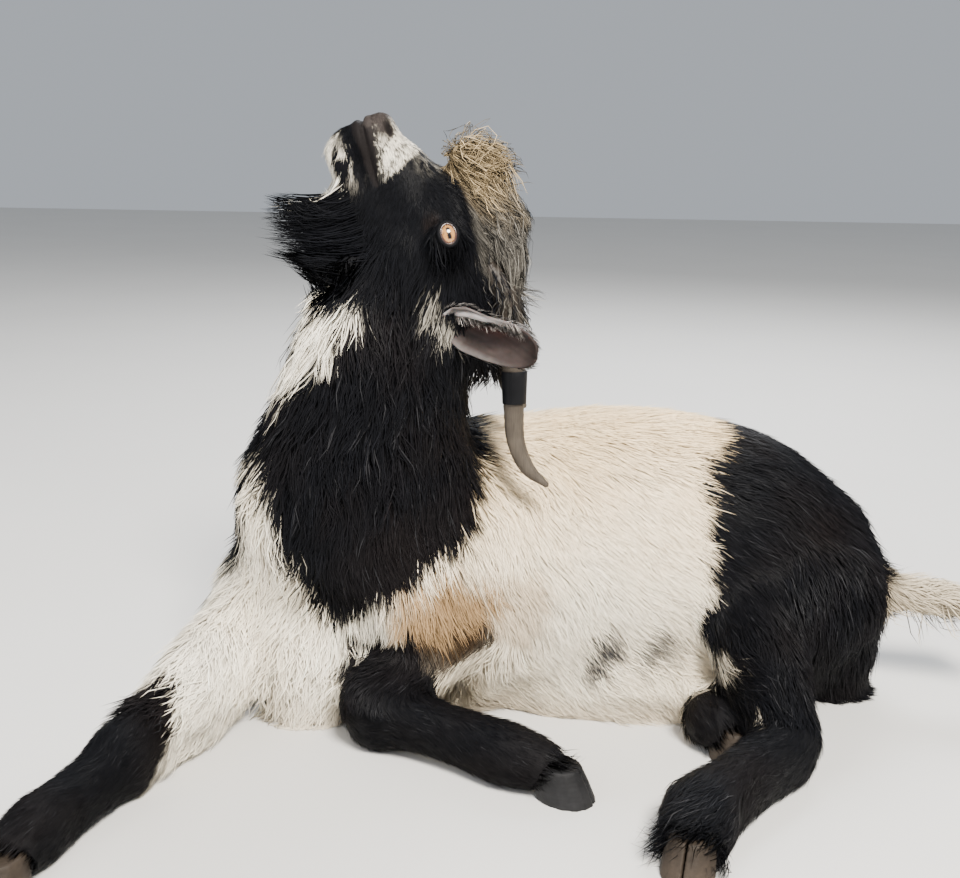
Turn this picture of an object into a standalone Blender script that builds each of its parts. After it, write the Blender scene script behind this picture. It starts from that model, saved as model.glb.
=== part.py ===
"""A lying pygmy-type dairy goat, head thrown back, as a life-size solid model.

Metres, +Z up. The goat faces -X and its left side faces -Y. The flesh is one body, fused from swept
masses and smoothed, then divided into head, neck, trunk, legs and tail by thin cuts. Horns, ears, eyes,
hooves and the tufts of the head are solids of their own. Surfaces stand at the tips of the coat.
"""

import math

import bpy
import bmesh
import numpy as np
from mathutils import Matrix, Vector

# ---------------------------------------------------------------- driving sizes
GAP = 0.0003            # width of a cut through the flesh
CLEARANCE = 0.0006      # room left round a solid that sits in another
VOXEL = 0.0042          # grain at which the flesh is fused
FIRST_TRIANGLES = 5000
FLESH_TRIANGLES = 2400
LEG_TRIANGLES = 330
SETTLE = 0.006          # how far the lowest flesh is pressed through the floor before it is cut flat
MIDLINE = 0.03          # Y of the head's plane of symmetry
EYE_RADIUS = 0.0132
EAR_THICKNESS = 0.003
EAR_HALF_WIDTH = 0.0225
HOOF_LENGTH = 0.046
HOOF_HEIGHT = 0.029
CLAW_WIDTH = 0.021
TAPE_THICKNESS = 0.0012

# The head's own axes: back runs from muzzle to nape, crown out of the forehead.
HEAD_TILT = math.radians(25)
MUZZLE = Vector((-0.088, MIDLINE, 0.538))
HEAD_BACK = Vector((math.sin(HEAD_TILT), 0, -math.cos(HEAD_TILT)))
HEAD_CROWN = Vector((math.cos(HEAD_TILT), 0, math.sin(HEAD_TILT)))
UP = Vector((0, 0, 1))
LEFT = Vector((0, -1, 0))

# Joints of the limbs, hip or elbow first, toe last.
JOINTS = {
    "foreleg_left": ((0.000, 0.052, 0.090), (-0.088, -0.022, 0.040), (0.026, -0.084, 0.031),
                     (0.098, -0.117, 0.0)),
    "foreleg_right": ((-0.222, 0.040, 0.068), (-0.286, -0.112, 0.033), (-0.322, -0.204, 0.027),
                      (-0.340, -0.278, 0.0)),
    "hindleg_left": ((0.315, 0.100, 0.105), (0.246, 0.034, 0.108), (0.264, -0.070, 0.032), (0.178, -0.164, 0.029),
                     (0.150, -0.232, 0.0)),
    "hindleg_right": ((0.325, 0.190, 0.098), (0.236, 0.232, 0.058), (0.290, 0.105, 0.030), (0.212, -0.006, 0.030),
                      (0.238, -0.060, 0.0)),
}
JOINTS = {name: [Vector(p) for p in places] for name, places in JOINTS.items()}


# ---------------------------------------------------------------- small tools
def clear_scene():
    for obj in list(bpy.data.objects):
        bpy.data.objects.remove(obj, do_unlink=True)


def object_from(name, bm):
    """Puts a finished bmesh in the scene, its faces outward."""
    bmesh.ops.recalc_face_normals(bm, faces=bm.faces)
    mesh = bpy.data.meshes.new(name)
    bm.to_mesh(mesh)
    bm.free()
    obj = bpy.data.objects.new(name, mesh)
    bpy.context.collection.objects.link(obj)
    return obj


def spline(values, count):
    """Catmull-Rom curve through rows of numbers, read at count even places."""
    rows = np.array(values, float)
    ends = np.vstack([2 * rows[0] - rows[1], rows, 2 * rows[-1] - rows[-2]])
    out = []
    for t in np.linspace(0, len(rows) - 1 - 1e-9, count):
        i = int(t)
        f = t - i
        a, b, c, d = ends[i:i + 4]
        out.append(0.5 * (2 * b + (c - a) * f + (2 * a - 5 * b + 4 * c - d) * f ** 2
                          + (3 * b - a - 3 * c + d) * f ** 3))
    return np.array(out)


def sweep(name, stations, deep_axis, rings=14, sides=16, grow=0.0, cap=0.8):
    """A closed tube with domed ends. A station is (point, half width, half depth along deep_axis)."""
    rows = spline([[*p, a, d] for p, a, d in stations], rings)
    centres = rows[:, :3]
    radii = np.maximum(rows[:, 3:], 0.002) + grow
    tangents = [Vector(t).normalized() for t in np.gradient(centres, axis=0)]
    dome = [math.radians(angle) for angle in (68, 45, 22)]
    places = [(0, -math.sin(a), math.cos(a)) for a in dome]
    places += [(i, 0, 1) for i in range(rings)]
    places += [(rings - 1, math.sin(a), math.cos(a)) for a in reversed(dome)]
    bm = bmesh.new()
    loops = []
    for index, reach, shrink in places:
        tangent = tangents[index]
        across = deep_axis.cross(tangent).normalized()
        down = tangent.cross(across).normalized()
        wide, deep = radii[index] * shrink
        centre = Vector(centres[index]) + tangent * reach * cap * min(radii[index])
        loop = []
        for k in range(sides):
            angle = 2 * math.pi * k / sides
            offset = across * wide * math.cos(angle) + down * deep * math.sin(angle)
            loop.append(bm.verts.new(centre + offset))
        loops.append(loop)
    for a, b in zip(loops, loops[1:]):
        for k in range(sides):
            bm.faces.new((a[k], a[(k + 1) % sides], b[(k + 1) % sides], b[k]))
    for loop, index, sign in ((loops[0], 0, -1), (loops[-1], rings - 1, 1)):
        pole = bm.verts.new(Vector(centres[index]) + tangents[index] * sign * cap * min(radii[index]))
        for k in range(sides):
            bm.faces.new((loop[k], loop[(k + 1) % sides], pole))
    return object_from(name, bm)


def ball(name, centre, size, turn=Matrix.Identity(3), rows=7):
    """An ellipsoid with half sizes along the columns of turn."""
    bm = bmesh.new()
    bmesh.ops.create_uvsphere(bm, u_segments=2 * rows, v_segments=rows, radius=1)
    place = Matrix.Translation(centre) @ turn.to_4x4() @ Matrix.Diagonal((*size, 1))
    bmesh.ops.transform(bm, matrix=place, verts=bm.verts)
    return object_from(name, bm)


def half_space(name, point, normal, size=1.2):
    """A block whose near face passes through point and which reaches out along normal."""
    bm = bmesh.new()
    bmesh.ops.create_cube(bm, size=size)
    turn = normal.to_track_quat("Z", "Y").to_matrix().to_4x4()
    place = Matrix.Translation(point + normal * size / 2) @ turn
    bmesh.ops.transform(bm, matrix=place, verts=bm.verts)
    return object_from(name, bm)


def apply(obj, kind, **settings):
    """Adds one modifier and takes its result as the mesh."""
    modifier = obj.modifiers.new(kind.lower(), kind)
    for key, value in settings.items():
        setattr(modifier, key, value)
    graph = bpy.context.evaluated_depsgraph_get()
    mesh = bpy.data.meshes.new_from_object(
        obj.evaluated_get(graph), preserve_all_data_layers=True, depsgraph=graph)
    obj.modifiers.clear()
    obj.data = mesh
    return obj


def join(name, parts):
    """The parts' meshes in one object, which may overlap. The parts are removed."""
    bm = bmesh.new()
    for part in parts:
        bm.from_mesh(part.data)
        bpy.data.objects.remove(part)
    return object_from(name, bm)


def weigh(obj, name, weight):
    """A vertex group whose weight is a function of the place."""
    group = obj.vertex_groups.new(name=name)
    for vert in obj.data.vertices:
        group.add([vert.index], weight(vert.co), "REPLACE")


def relax_folds(obj, rounds=12):
    """Eases every point at which the skin is folded too sharply to be offset."""
    bm = bmesh.new()
    bm.from_mesh(obj.data)
    for _ in range(rounds):
        folded = [v for v in bm.verts if min(v.normal.dot(face.normal) for face in v.link_faces) < 0.5]
        moves = []
        for vert in folded:
            around = [edge.other_vert(vert).co for edge in vert.link_edges]
            moves.append(vert.co.lerp(sum(around, Vector()) / len(around), 0.5))
        for vert, place in zip(folded, moves):
            vert.co = place
        bm.normal_update()
    bm.to_mesh(obj.data)
    bm.free()
    return obj


def fuse(name, parts, voxel, smooth, triangles):
    """One skin round overlapping parts, smoothed and thinned to about a number of triangles."""
    obj = join(name, parts)
    apply(obj, "REMESH", mode="VOXEL", voxel_size=voxel)
    apply(obj, "SMOOTH", factor=0.5, iterations=smooth)
    apply(obj, "DECIMATE", ratio=min(1, triangles / (2 * len(obj.data.polygons))))
    return relax_folds(obj)


def keep_largest(obj):
    """Drops every loose crumb that a cut has left."""
    bm = bmesh.new()
    bm.from_mesh(obj.data)
    bm.verts.ensure_lookup_table()
    seen, groups = set(), []
    for vert in bm.verts:
        if vert.index in seen:
            continue
        seen.add(vert.index)
        group, front = [vert], [vert]
        while front:
            for edge in front.pop().link_edges:
                for other in edge.verts:
                    if other.index not in seen:
                        seen.add(other.index)
                        group.append(other)
                        front.append(other)
        groups.append(group)
    groups.sort(key=len)
    bmesh.ops.delete(bm, geom=[v for group in groups[:-1] for v in group], context="VERTS")
    bm.to_mesh(obj.data)
    bm.free()


def copy_of(obj, name, grow=0.0):
    """A copy whose surface stands by at least grow further out, more at its sharp points."""
    bm = bmesh.new()
    bm.from_mesh(obj.data)
    moves = []
    for vert in bm.verts:
        flattest = min((vert.normal.dot(face.normal) for face in vert.link_faces), default=1)
        moves.append(vert.normal * grow / max(0.4, flattest))
    for vert, move in zip(bm.verts, moves):
        vert.co += move
    return object_from(name, bm)


def cut(obj, cutter, operation="DIFFERENCE"):
    """Cuts and takes the cutter away."""
    apply(obj, "BOOLEAN", object=cutter, operation=operation, solver="EXACT")
    apply(obj, "TRIANGULATE", ngon_method="CLIP")
    bpy.data.objects.remove(cutter)
    keep_largest(obj)
    return obj


def make_way(obj, *others):
    """Cuts room for its neighbours out of obj."""
    for other in others:
        cut(obj, copy_of(other, "room", CLEARANCE))


def part_by_plane(flesh, name, point, normal):
    """Takes what lies beyond a plane off the flesh, with a gap."""
    piece = cut(copy_of(flesh, name), half_space("side", point, normal), "INTERSECT")
    cut(flesh, half_space("side", point - normal * GAP, normal))
    return piece


def head_point(back, crown, left=0.0):
    """A place in the head: behind the muzzle, towards the crown and to the goat's left."""
    return MUZZLE + HEAD_BACK * back + HEAD_CROWN * crown + LEFT * left


def head_stations(rows):
    """Rows of (back, lowest, highest, half width) as stations of a sweep."""
    return [(head_point(back, (low + high) / 2), wide, (high - low) / 2) for back, low, high, wide in rows]


def head_turn():
    return Matrix((HEAD_BACK, LEFT, HEAD_CROWN)).transposed()


# ---------------------------------------------------------------- masses of flesh
def head_masses():
    """Skull, nose and jaw, and each side's brow, cheek, nostril and lip."""
    turn = head_turn()
    masses = [
        sweep("skull", head_stations([
            (0.088, -0.026, 0.050, 0.036), (0.112, -0.032, 0.048, 0.042), (0.148, -0.040, 0.043, 0.043),
            (0.182, -0.044, 0.036, 0.038), (0.205, -0.042, 0.026, 0.032)]), HEAD_CROWN),
        sweep("nose", head_stations([
            (0.006, -0.024, 0.006, 0.018), (0.022, -0.031, 0.013, 0.0215), (0.046, -0.037, 0.025, 0.0225),
            (0.070, -0.037, 0.034, 0.0270), (0.094, -0.038, 0.050, 0.0350)]), HEAD_CROWN),
        sweep("jaw", head_stations([
            (0.004, -0.047, -0.024, 0.0145), (0.020, -0.055, -0.026, 0.0175), (0.048, -0.060, -0.024, 0.0195),
            (0.086, -0.063, -0.014, 0.0250), (0.124, -0.064, -0.004, 0.0330), (0.158, -0.062, 0.002, 0.0370)]),
            HEAD_CROWN),
        ball("lower_lip", head_point(0.004, -0.030), (0.012, 0.014, 0.013), turn),
        ball("chin", head_point(0.010, -0.044), (0.013, 0.014, 0.012), turn)]
    for side in (1, -1):
        masses += [
            ball("brow", head_point(0.108, 0.022, side * 0.032), (0.024, 0.016, 0.018), turn),
            ball("cheek", head_point(0.128, -0.022, side * 0.026), (0.042, 0.021, 0.032), turn),
            ball("nostril", head_point(0.006, 0.000, side * 0.011), (0.013, 0.011, 0.012), turn),
            ball("lip", head_point(0.012, -0.018, side * 0.011), (0.020, 0.012, 0.010), turn)]
    return masses


def neck_masses():
    """From the nape down to the chest, deeper than wide, with its long coat."""
    return [sweep("throat_and_nape", [
        (Vector((-0.060, MIDLINE, 0.415)), 0.040, 0.058),
        (Vector((-0.072, MIDLINE, 0.375)), 0.052, 0.080),
        (Vector((-0.087, 0.032, 0.335)), 0.058, 0.086),
        (Vector((-0.097, 0.038, 0.290)), 0.066, 0.093),
        (Vector((-0.104, 0.048, 0.235)), 0.078, 0.114),
        (Vector((-0.108, 0.062, 0.180)), 0.090, 0.122)], Vector((1, 0, 0)), rings=16)]


def trunk_masses():
    """Barrel, shoulders, brisket, paunch and buttock."""
    return [
        sweep("barrel", [
            (Vector((-0.165, 0.060, 0.126)), 0.066, 0.100), (Vector((-0.110, 0.080, 0.133)), 0.086, 0.132),
            (Vector((-0.045, 0.098, 0.133)), 0.098, 0.139), (Vector((0.030, 0.113, 0.133)), 0.110, 0.138),
            (Vector((0.110, 0.123, 0.137)), 0.118, 0.142), (Vector((0.180, 0.130, 0.135)), 0.120, 0.141),
            (Vector((0.245, 0.134, 0.133)), 0.112, 0.126), (Vector((0.300, 0.138, 0.117)), 0.098, 0.104),
            (Vector((0.350, 0.134, 0.096)), 0.078, 0.078), (Vector((0.380, 0.128, 0.086)), 0.052, 0.048)],
            UP, rings=26, sides=24, cap=0.6),
        sweep("shoulder_left", [
            (Vector((0.000, 0.070, 0.205)), 0.040, 0.040), (Vector((-0.050, 0.030, 0.175)), 0.046, 0.050),
            (Vector((-0.060, 0.020, 0.125)), 0.046, 0.048), (Vector((-0.012, 0.050, 0.095)), 0.042, 0.042)],
            Vector((1, 0, 0))),
        sweep("shoulder_right", [
            (Vector((-0.090, 0.140, 0.190)), 0.050, 0.050), (Vector((-0.150, 0.105, 0.160)), 0.054, 0.058),
            (Vector((-0.190, 0.070, 0.118)), 0.050, 0.056), (Vector((-0.215, 0.052, 0.082)), 0.044, 0.048)],
            Vector((1, 0, 0))),
        ball("brisket", Vector((-0.150, 0.042, 0.070)), (0.064, 0.055, 0.080)),
        ball("chest_ruff", Vector((-0.178, 0.056, 0.160)), (0.050, 0.052, 0.070)),
        ball("paunch", Vector((0.125, 0.118, 0.055)), (0.165, 0.108, 0.080)),
        ball("buttock", Vector((0.347, 0.120, 0.066)), (0.052, 0.064, 0.080))]


def foreleg_masses(name, elbow_size, knee_size, cannon_size):
    """Forearm down to the knee, and cannon bone down to the hooves."""
    elbow, knee, fetlock, toe = JOINTS[name]
    pastern = fetlock.lerp(toe, 0.50) + UP * 0.013
    forearm = sweep("forearm", [
        (elbow, elbow_size, elbow_size * 1.15), (elbow.lerp(knee, 0.45), elbow_size * 0.84, elbow_size * 0.98),
        (elbow.lerp(knee, 0.80), knee_size * 0.92, knee_size), (knee, knee_size, knee_size * 1.08)],
        UP, rings=12, cap=0.9)
    cannon = sweep("cannon", [
        (knee, knee_size * 0.9, knee_size * 0.9), (knee.lerp(fetlock, 0.35), cannon_size, cannon_size * 1.04),
        (knee.lerp(fetlock, 0.75), cannon_size * 0.98, cannon_size),
        (fetlock, cannon_size * 1.14, cannon_size * 1.08), (pastern, cannon_size, cannon_size * 0.86)],
        UP, rings=14, cap=0.6)
    return [forearm, cannon]


def hindleg_masses(name, thigh_size, gaskin_size, cannon_size):
    """Thigh, gaskin down to the hock, and cannon bone down to the hooves."""
    hip, stifle, hock, fetlock, toe = JOINTS[name]
    pastern = fetlock.lerp(toe, 0.50) + UP * 0.013
    thigh = sweep("thigh", [
        (hip, thigh_size, thigh_size), (hip.lerp(stifle, 0.5), thigh_size * 0.94, thigh_size * 0.98),
        (stifle, thigh_size * 0.62, thigh_size * 0.66)], UP, rings=12, sides=20, cap=0.9)
    gaskin = sweep("gaskin", [
        (stifle, gaskin_size, gaskin_size * 1.1), (stifle.lerp(hock, 0.45), gaskin_size * 0.88, gaskin_size * 0.96),
        (stifle.lerp(hock, 0.85), gaskin_size * 0.66, gaskin_size * 0.72),
        (hock, cannon_size * 1.16, cannon_size * 1.20)], Vector((1, 0, 0)), rings=12, cap=0.9)
    cannon = sweep("cannon", [
        (hock, cannon_size * 1.12, cannon_size * 1.12), (hock.lerp(fetlock, 0.40), cannon_size, cannon_size * 1.02),
        (hock.lerp(fetlock, 0.78), cannon_size * 1.02, cannon_size * 1.02),
        (fetlock, cannon_size * 1.36, cannon_size * 1.10), (pastern, cannon_size * 1.20, cannon_size * 0.90)],
        UP, rings=14, cap=0.6)
    return [thigh, gaskin, cannon]


def tail_masses():
    """A short brush that lies out behind."""
    return [sweep("brush", [
        (Vector((0.378, 0.112, 0.100)), 0.022, 0.022), (Vector((0.405, 0.108, 0.102)), 0.022, 0.022),
        (Vector((0.440, 0.100, 0.103)), 0.030, 0.023), (Vector((0.475, 0.094, 0.098)), 0.030, 0.018),
        (Vector((0.505, 0.090, 0.092)), 0.016, 0.008)], UP, rings=14, sides=14)]


LEG_SIZES = {
    "foreleg_left": (foreleg_masses, 0.038, 0.037, 0.024),
    "foreleg_right": (foreleg_masses, 0.046, 0.031, 0.0235),
    "hindleg_left": (hindleg_masses, 0.079, 0.046, 0.0265),
    "hindleg_right": (hindleg_masses, 0.070, 0.040, 0.0240),
}


def press_on_floor(obj):
    """Lets the lowest flesh sink a little and cuts it flat at the floor."""
    for vert in obj.data.vertices:
        vert.co.z -= SETTLE * max(0, 1 - vert.co.z / 0.05)
    return cut(obj, half_space("floor", Vector((0, 0, 0)), -UP))


def build_leg(name):
    """One leg down to the hooves."""
    make, *sizes = LEG_SIZES[name]
    return press_on_floor(fuse(name, make(name, *sizes), 0.005, 7, LEG_TRIANGLES))


def build_flesh():
    """Head, neck, trunk and tail as one smooth body, pressed flat where it lies on the floor."""
    flesh = join("trunk", head_masses() + neck_masses() + trunk_masses() + tail_masses())
    apply(flesh, "REMESH", mode="VOXEL", voxel_size=VOXEL)
    keep_largest(flesh)
    apply(flesh, "SMOOTH", factor=0.5, iterations=3)
    weigh(flesh, "body", lambda place: min(1, max(0, (0.42 - place.z) / 0.06)))
    apply(flesh, "SMOOTH", factor=0.5, iterations=8, vertex_group="body")
    apply(flesh, "DECIMATE", ratio=FIRST_TRIANGLES / (2 * len(flesh.data.polygons)))
    apply(flesh, "DECIMATE", ratio=FLESH_TRIANGLES / FIRST_TRIANGLES, vertex_group="body")
    flesh.vertex_groups.clear()
    return press_on_floor(relax_folds(flesh))


# ---------------------------------------------------------------- solids of their own
def build_claw(name, fetlock, toe, side):
    """One half of a cloven hoof: a flat sole, a wall that leans back, round outside, straight inside."""
    forward = toe - fetlock
    forward.z = 0
    forward.normalize()
    across = UP.cross(forward) * side
    outline = [(0.0, 0.62), (0.25, 0.92), (0.55, 1.0), (0.80, 0.84), (0.94, 0.50), (1.0, 0.14)]
    bm = bmesh.new()
    loops = []
    for height, lean, narrow in ((0.0, 0.0, 1.0), (0.5, -0.14, 0.93), (1.0, -0.30, 0.80)):
        outer = [((along - 1) * (1 + 0.35 * lean) + lean, wide * narrow) for along, wide in outline]
        loop = [(length, 0.03) for length, _ in outer]
        loop += [(length, 0.03 + 0.97 * wide) for length, wide in reversed(outer)]
        level = UP * HOOF_HEIGHT * height
        loops.append([bm.verts.new(toe + forward * length * HOOF_LENGTH + across * wide * CLAW_WIDTH + level)
                      for length, wide in loop])
    count = len(loops[0])
    for a, b in zip(loops, loops[1:]):
        for k in range(count):
            bm.faces.new((a[k], a[(k + 1) % count], b[(k + 1) % count], b[k]))
    bm.faces.new(loops[0])
    bm.faces.new(loops[-1])
    return object_from(name, bm)


def build_ear(name, side, tip):
    """A cupped leaf that stands back from the nape, thin, with a rounded tip."""
    root = Vector((-0.036, MIDLINE - side * 0.032, 0.379))
    along = tip - root
    facing = Vector((-0.10, -side, -0.25))
    across = along.cross(facing).normalized()
    facing = across.cross(along).normalized()
    rows, columns = 8, 5
    bm = bmesh.new()
    front, back = [], []
    for i in range(rows + 1):
        t = i / rows
        width = EAR_HALF_WIDTH * min(1, 0.48 + 0.9 * t) * math.sqrt(max(0.03, 1 - (t / 1.01) ** 5))
        cup = 0.014 * (1 - t) ** 0.7 + 0.004
        line_front, line_back = [], []
        for j in range(columns + 1):
            u = 2 * j / columns - 1
            hollow = facing * cup * (1 - u * u) * width / EAR_HALF_WIDTH
            place = root + along * t + across * u * width - hollow
            line_front.append(bm.verts.new(place))
            line_back.append(bm.verts.new(place - facing * EAR_THICKNESS))
        front.append(line_front)
        back.append(line_back)
    for i in range(rows):
        for j in range(columns):
            bm.faces.new((front[i][j], front[i][j + 1], front[i + 1][j + 1], front[i + 1][j]))
            bm.faces.new((back[i][j], back[i + 1][j], back[i + 1][j + 1], back[i][j + 1]))
        for j in (0, columns):
            bm.faces.new((front[i][j], front[i + 1][j], back[i + 1][j], back[i][j]))
    for i in (0, rows):
        for j in range(columns):
            bm.faces.new((front[i][j], front[i][j + 1], back[i][j + 1], back[i][j]))
    return object_from(name, bm)


def horn_stations(side):
    """From the crown back past the nape, then turning out at the tip."""
    path = [(0.017, 0.016, 0.398, 0.0125, 0.0135), (0.024, 0.018, 0.372, 0.0110, 0.0115),
            (0.0275, 0.020, 0.335, 0.0092, 0.0096), (0.0285, 0.022, 0.300, 0.0080, 0.0084),
            (0.0310, 0.025, 0.272, 0.0070, 0.0074), (0.0410, 0.028, 0.250, 0.0058, 0.0060),
            (0.0550, 0.031, 0.238, 0.0034, 0.0036)]
    if side < 0:  # the right horn is shorter and straighter, clear of the withers
        path = [(0.012 + (x - 0.012) * 0.6, y, 0.398 - (0.398 - z) * 0.66, *sizes)
                for x, y, z, *sizes in path]
    return [(Vector((x, MIDLINE - side * y, z)), wide, deep) for x, y, z, wide, deep in path]


def build_horn(name, side):
    return sweep(name, horn_stations(side), Vector((1, 0, 0)), rings=11, sides=8, cap=0.8)


def build_horn_band(name, side):
    """A sleeve of tape round the middle of the horn."""
    rows = spline([[*p, a, d] for p, a, d in horn_stations(side)], 81)
    stations = [(Vector(row[:3]), row[3], row[4]) for row in rows if 0.3035 < row[2] < 0.3330]
    return sweep(name, stations, Vector((1, 0, 0)), rings=3, sides=10, grow=TAPE_THICKNESS, cap=0.04)


def build_beard():
    """A tuft under the jaw that curls forward."""
    return fuse("beard", [
        sweep("mass", [
            (head_point(0.086, -0.062), 0.017, 0.030), (Vector((-0.148, MIDLINE, 0.436)), 0.016, 0.026),
            (Vector((-0.168, MIDLINE, 0.436)), 0.010, 0.015)], UP, rings=10, sides=12),
        sweep("wisp", [
            (Vector((-0.140, MIDLINE, 0.452)), 0.011, 0.010), (Vector((-0.166, MIDLINE, 0.451)), 0.008, 0.006),
            (Vector((-0.183, MIDLINE, 0.459)), 0.003, 0.003)], UP, rings=8, sides=8)], 0.004, 2, 160)


def build_forelock():
    """The mop of curls from brow to poll."""
    locks = [(-0.014, 0.000, 0.514, 0.023, 0.020, 0.023), (0.008, 0.000, 0.488, 0.024, 0.025, 0.023),
             (0.018, 0.000, 0.458, 0.025, 0.028, 0.026), (0.019, 0.002, 0.430, 0.021, 0.027, 0.024),
             (0.027, 0.014, 0.410, 0.012, 0.012, 0.018)]
    parts = [ball("lock", Vector((x, MIDLINE - left, z)), size) for x, left, z, *size in locks]
    return fuse("forelock", parts, 0.0045, 4, 240)


# ---------------------------------------------------------------- materials
COLOURS = {
    "coat_black": ((0.012, 0.011, 0.010), 0.55), "coat_white": ((0.72, 0.67, 0.58), 0.6),
    "coat_grey": ((0.22, 0.20, 0.16), 0.6), "skin_pink": ((0.30, 0.20, 0.18), 0.5),
    "iris_amber": ((0.45, 0.25, 0.10), 0.1), "horn_grey": ((0.20, 0.16, 0.13), 0.4),
    "tape_black": ((0.01, 0.01, 0.01), 0.35), "hoof_tan": ((0.22, 0.17, 0.13), 0.5),
}


def finish_of(name):
    """The kind of surface that a node is named for."""
    kinds = (("eye", "iris_amber"), ("ear", "skin_pink"), ("horn_band", "tape_black"), ("horn", "horn_grey"),
             ("claw", "hoof_tan"), ("forelock", "coat_grey"), ("trunk", "coat_white"), ("tail", "coat_white"))
    return next((finish for start, finish in kinds if name.startswith(start)), "coat_black")


def give_materials():
    """One material to each object, named for it."""
    for obj in bpy.data.objects:
        colour, roughness = COLOURS[finish_of(obj.name)]
        mat = bpy.data.materials.new(obj.name)
        mat.use_nodes = True
        shader = mat.node_tree.nodes["Principled BSDF"]
        shader.inputs["Base Color"].default_value = (*colour, 1)
        shader.inputs["Roughness"].default_value = roughness
        obj.data.materials.clear()
        obj.data.materials.append(mat)


# ---------------------------------------------------------------- assembly
def divide(flesh):
    """Cuts head, tail and neck off the flesh. What is left is the trunk."""
    jaw_angle, nape = head_point(0.122, -0.072), head_point(0.210, 0.030)
    head = part_by_plane(flesh, "head", nape, LEFT.cross(nape - jaw_angle).normalized())
    root = Vector((0.405, 0.108, 0.102))
    tail = part_by_plane(flesh, "tail", root, Vector((0.97, -0.2, 0.12)).normalized())
    pieces = {"head": head, "tail": tail}
    chest, withers = Vector((-0.235, 0, 0.178)), Vector((0.035, 0, 0.282))
    pieces["neck"] = part_by_plane(flesh, "neck", chest, LEFT.cross(withers - chest).normalized())
    return pieces


def centre_on_origin():
    """Puts the origin at the middle of the whole, at floor level."""
    corners = np.array([v.co for obj in bpy.data.objects for v in obj.data.vertices])
    low, high = corners.min(axis=0), corners.max(axis=0)
    shift = Vector((-(low[0] + high[0]) / 2, -(low[1] + high[1]) / 2, -low[2]))
    for obj in bpy.data.objects:
        obj.data.transform(Matrix.Translation(shift))
    print("shift", tuple(shift))


def build():
    clear_scene()
    flesh = build_flesh()
    pieces = divide(flesh)
    head, neck = pieces["head"], pieces["neck"]
    legs = {name: build_leg(name) for name in LEG_SIZES}
    rooms = {name: copy_of(leg, "room_" + name, CLEARANCE) for name, leg in legs.items()}
    eyes = [ball(f"eye_{name}", head_point(0.1088, 0.0133, side * 0.0345), (EYE_RADIUS,) * 3)
            for name, side in (("left", 1), ("right", -1))]
    ears = [build_ear("ear_left", 1, Vector((0.045, -0.050, 0.356))),
            build_ear("ear_right", -1, Vector((0.024, 0.112, 0.330)))]
    horns = [build_horn("horn_left", 1), build_horn("horn_right", -1)]
    make_way(build_horn_band("horn_band", 1), horns[0])
    forelock, beard = build_forelock(), build_beard()
    for name in LEG_SIZES:
        fetlock, toe = JOINTS[name][-2:]
        for half, side in (("inner", 1), ("outer", -1)):
            make_way(legs[name], build_claw(f"claw_{name}_{half}", fetlock, toe, side))
    far_claws = [bpy.data.objects[f"claw_hindleg_right_{half}"] for half in ("inner", "outer")]
    make_way(legs["hindleg_left"], *far_claws)
    cut(legs["hindleg_right"], copy_of(rooms["hindleg_left"], "room"))
    for room in rooms.values():
        cut(flesh, room)
    for ear in ears:
        make_way(ear, head, neck)
    make_way(head, *eyes, beard, forelock, *horns)
    make_way(neck, *horns, beard)
    make_way(forelock, *ears, *horns)
    give_materials()
    centre_on_origin()


build()
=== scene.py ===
"""A life-size dwarf goat, lying with its head thrown back: skin, coat, eyes, horns and hooves.

Metres, +Z up. The goat faces -X and its left side faces -Y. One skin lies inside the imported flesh
solids by the depth of the coat, and tufts of hair grow out of it to the solids' surface.
"""

import logging
import math
from collections.abc import Callable
from dataclasses import dataclass, fields
from enum import Enum, IntEnum

import bmesh
import bpy
import numpy as np
from mathutils import Matrix, Vector
from mathutils.bvhtree import BVHTree
from mathutils.kdtree import KDTree

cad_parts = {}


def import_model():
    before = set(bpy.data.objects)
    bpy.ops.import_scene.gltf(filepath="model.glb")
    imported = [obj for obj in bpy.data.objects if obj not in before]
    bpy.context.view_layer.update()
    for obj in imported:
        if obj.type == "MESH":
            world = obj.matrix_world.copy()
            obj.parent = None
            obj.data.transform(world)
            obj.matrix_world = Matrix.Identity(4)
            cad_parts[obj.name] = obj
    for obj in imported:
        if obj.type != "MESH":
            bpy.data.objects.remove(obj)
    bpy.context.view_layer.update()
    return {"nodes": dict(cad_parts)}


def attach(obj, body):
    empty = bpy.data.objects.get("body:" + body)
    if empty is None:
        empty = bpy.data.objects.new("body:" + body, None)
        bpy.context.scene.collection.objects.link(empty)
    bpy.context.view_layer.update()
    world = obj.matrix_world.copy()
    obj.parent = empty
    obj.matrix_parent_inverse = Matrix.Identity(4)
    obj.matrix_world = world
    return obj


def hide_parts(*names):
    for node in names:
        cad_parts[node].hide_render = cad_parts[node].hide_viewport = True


log = logging.getLogger("goat")

# Short names of types.
Array = np.ndarray
Triple = tuple[float, float, float]
Obj = bpy.types.Object
Material = bpy.types.Material
Socket = bpy.types.NodeSocket

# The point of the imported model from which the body's landmarks below are measured.
HOME = np.array([-0.0773, 0.0024, 0.0])
MIDLINE = 0.03
HEAD_TILT = math.radians(25)
MUZZLE = np.array([-0.088, MIDLINE, 0.538])
HEAD_BACK = np.array([math.sin(HEAD_TILT), 0, -math.cos(HEAD_TILT)])
HEAD_CROWN = np.array([math.cos(HEAD_TILT), 0, math.sin(HEAD_TILT)])
HEAD_LEFT = np.array([0.0, -1.0, 0.0])
FLESH = ("head", "neck", "trunk", "tail", "foreleg_left", "foreleg_right", "hindleg_left", "hindleg_right",
         "forelock")
# How far the edge between two colours of the coat fades to either side.
EDGE = 0.003
# Share of the mop of curls above which a place counts as on it.
ON_MOP = 0.4
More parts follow.
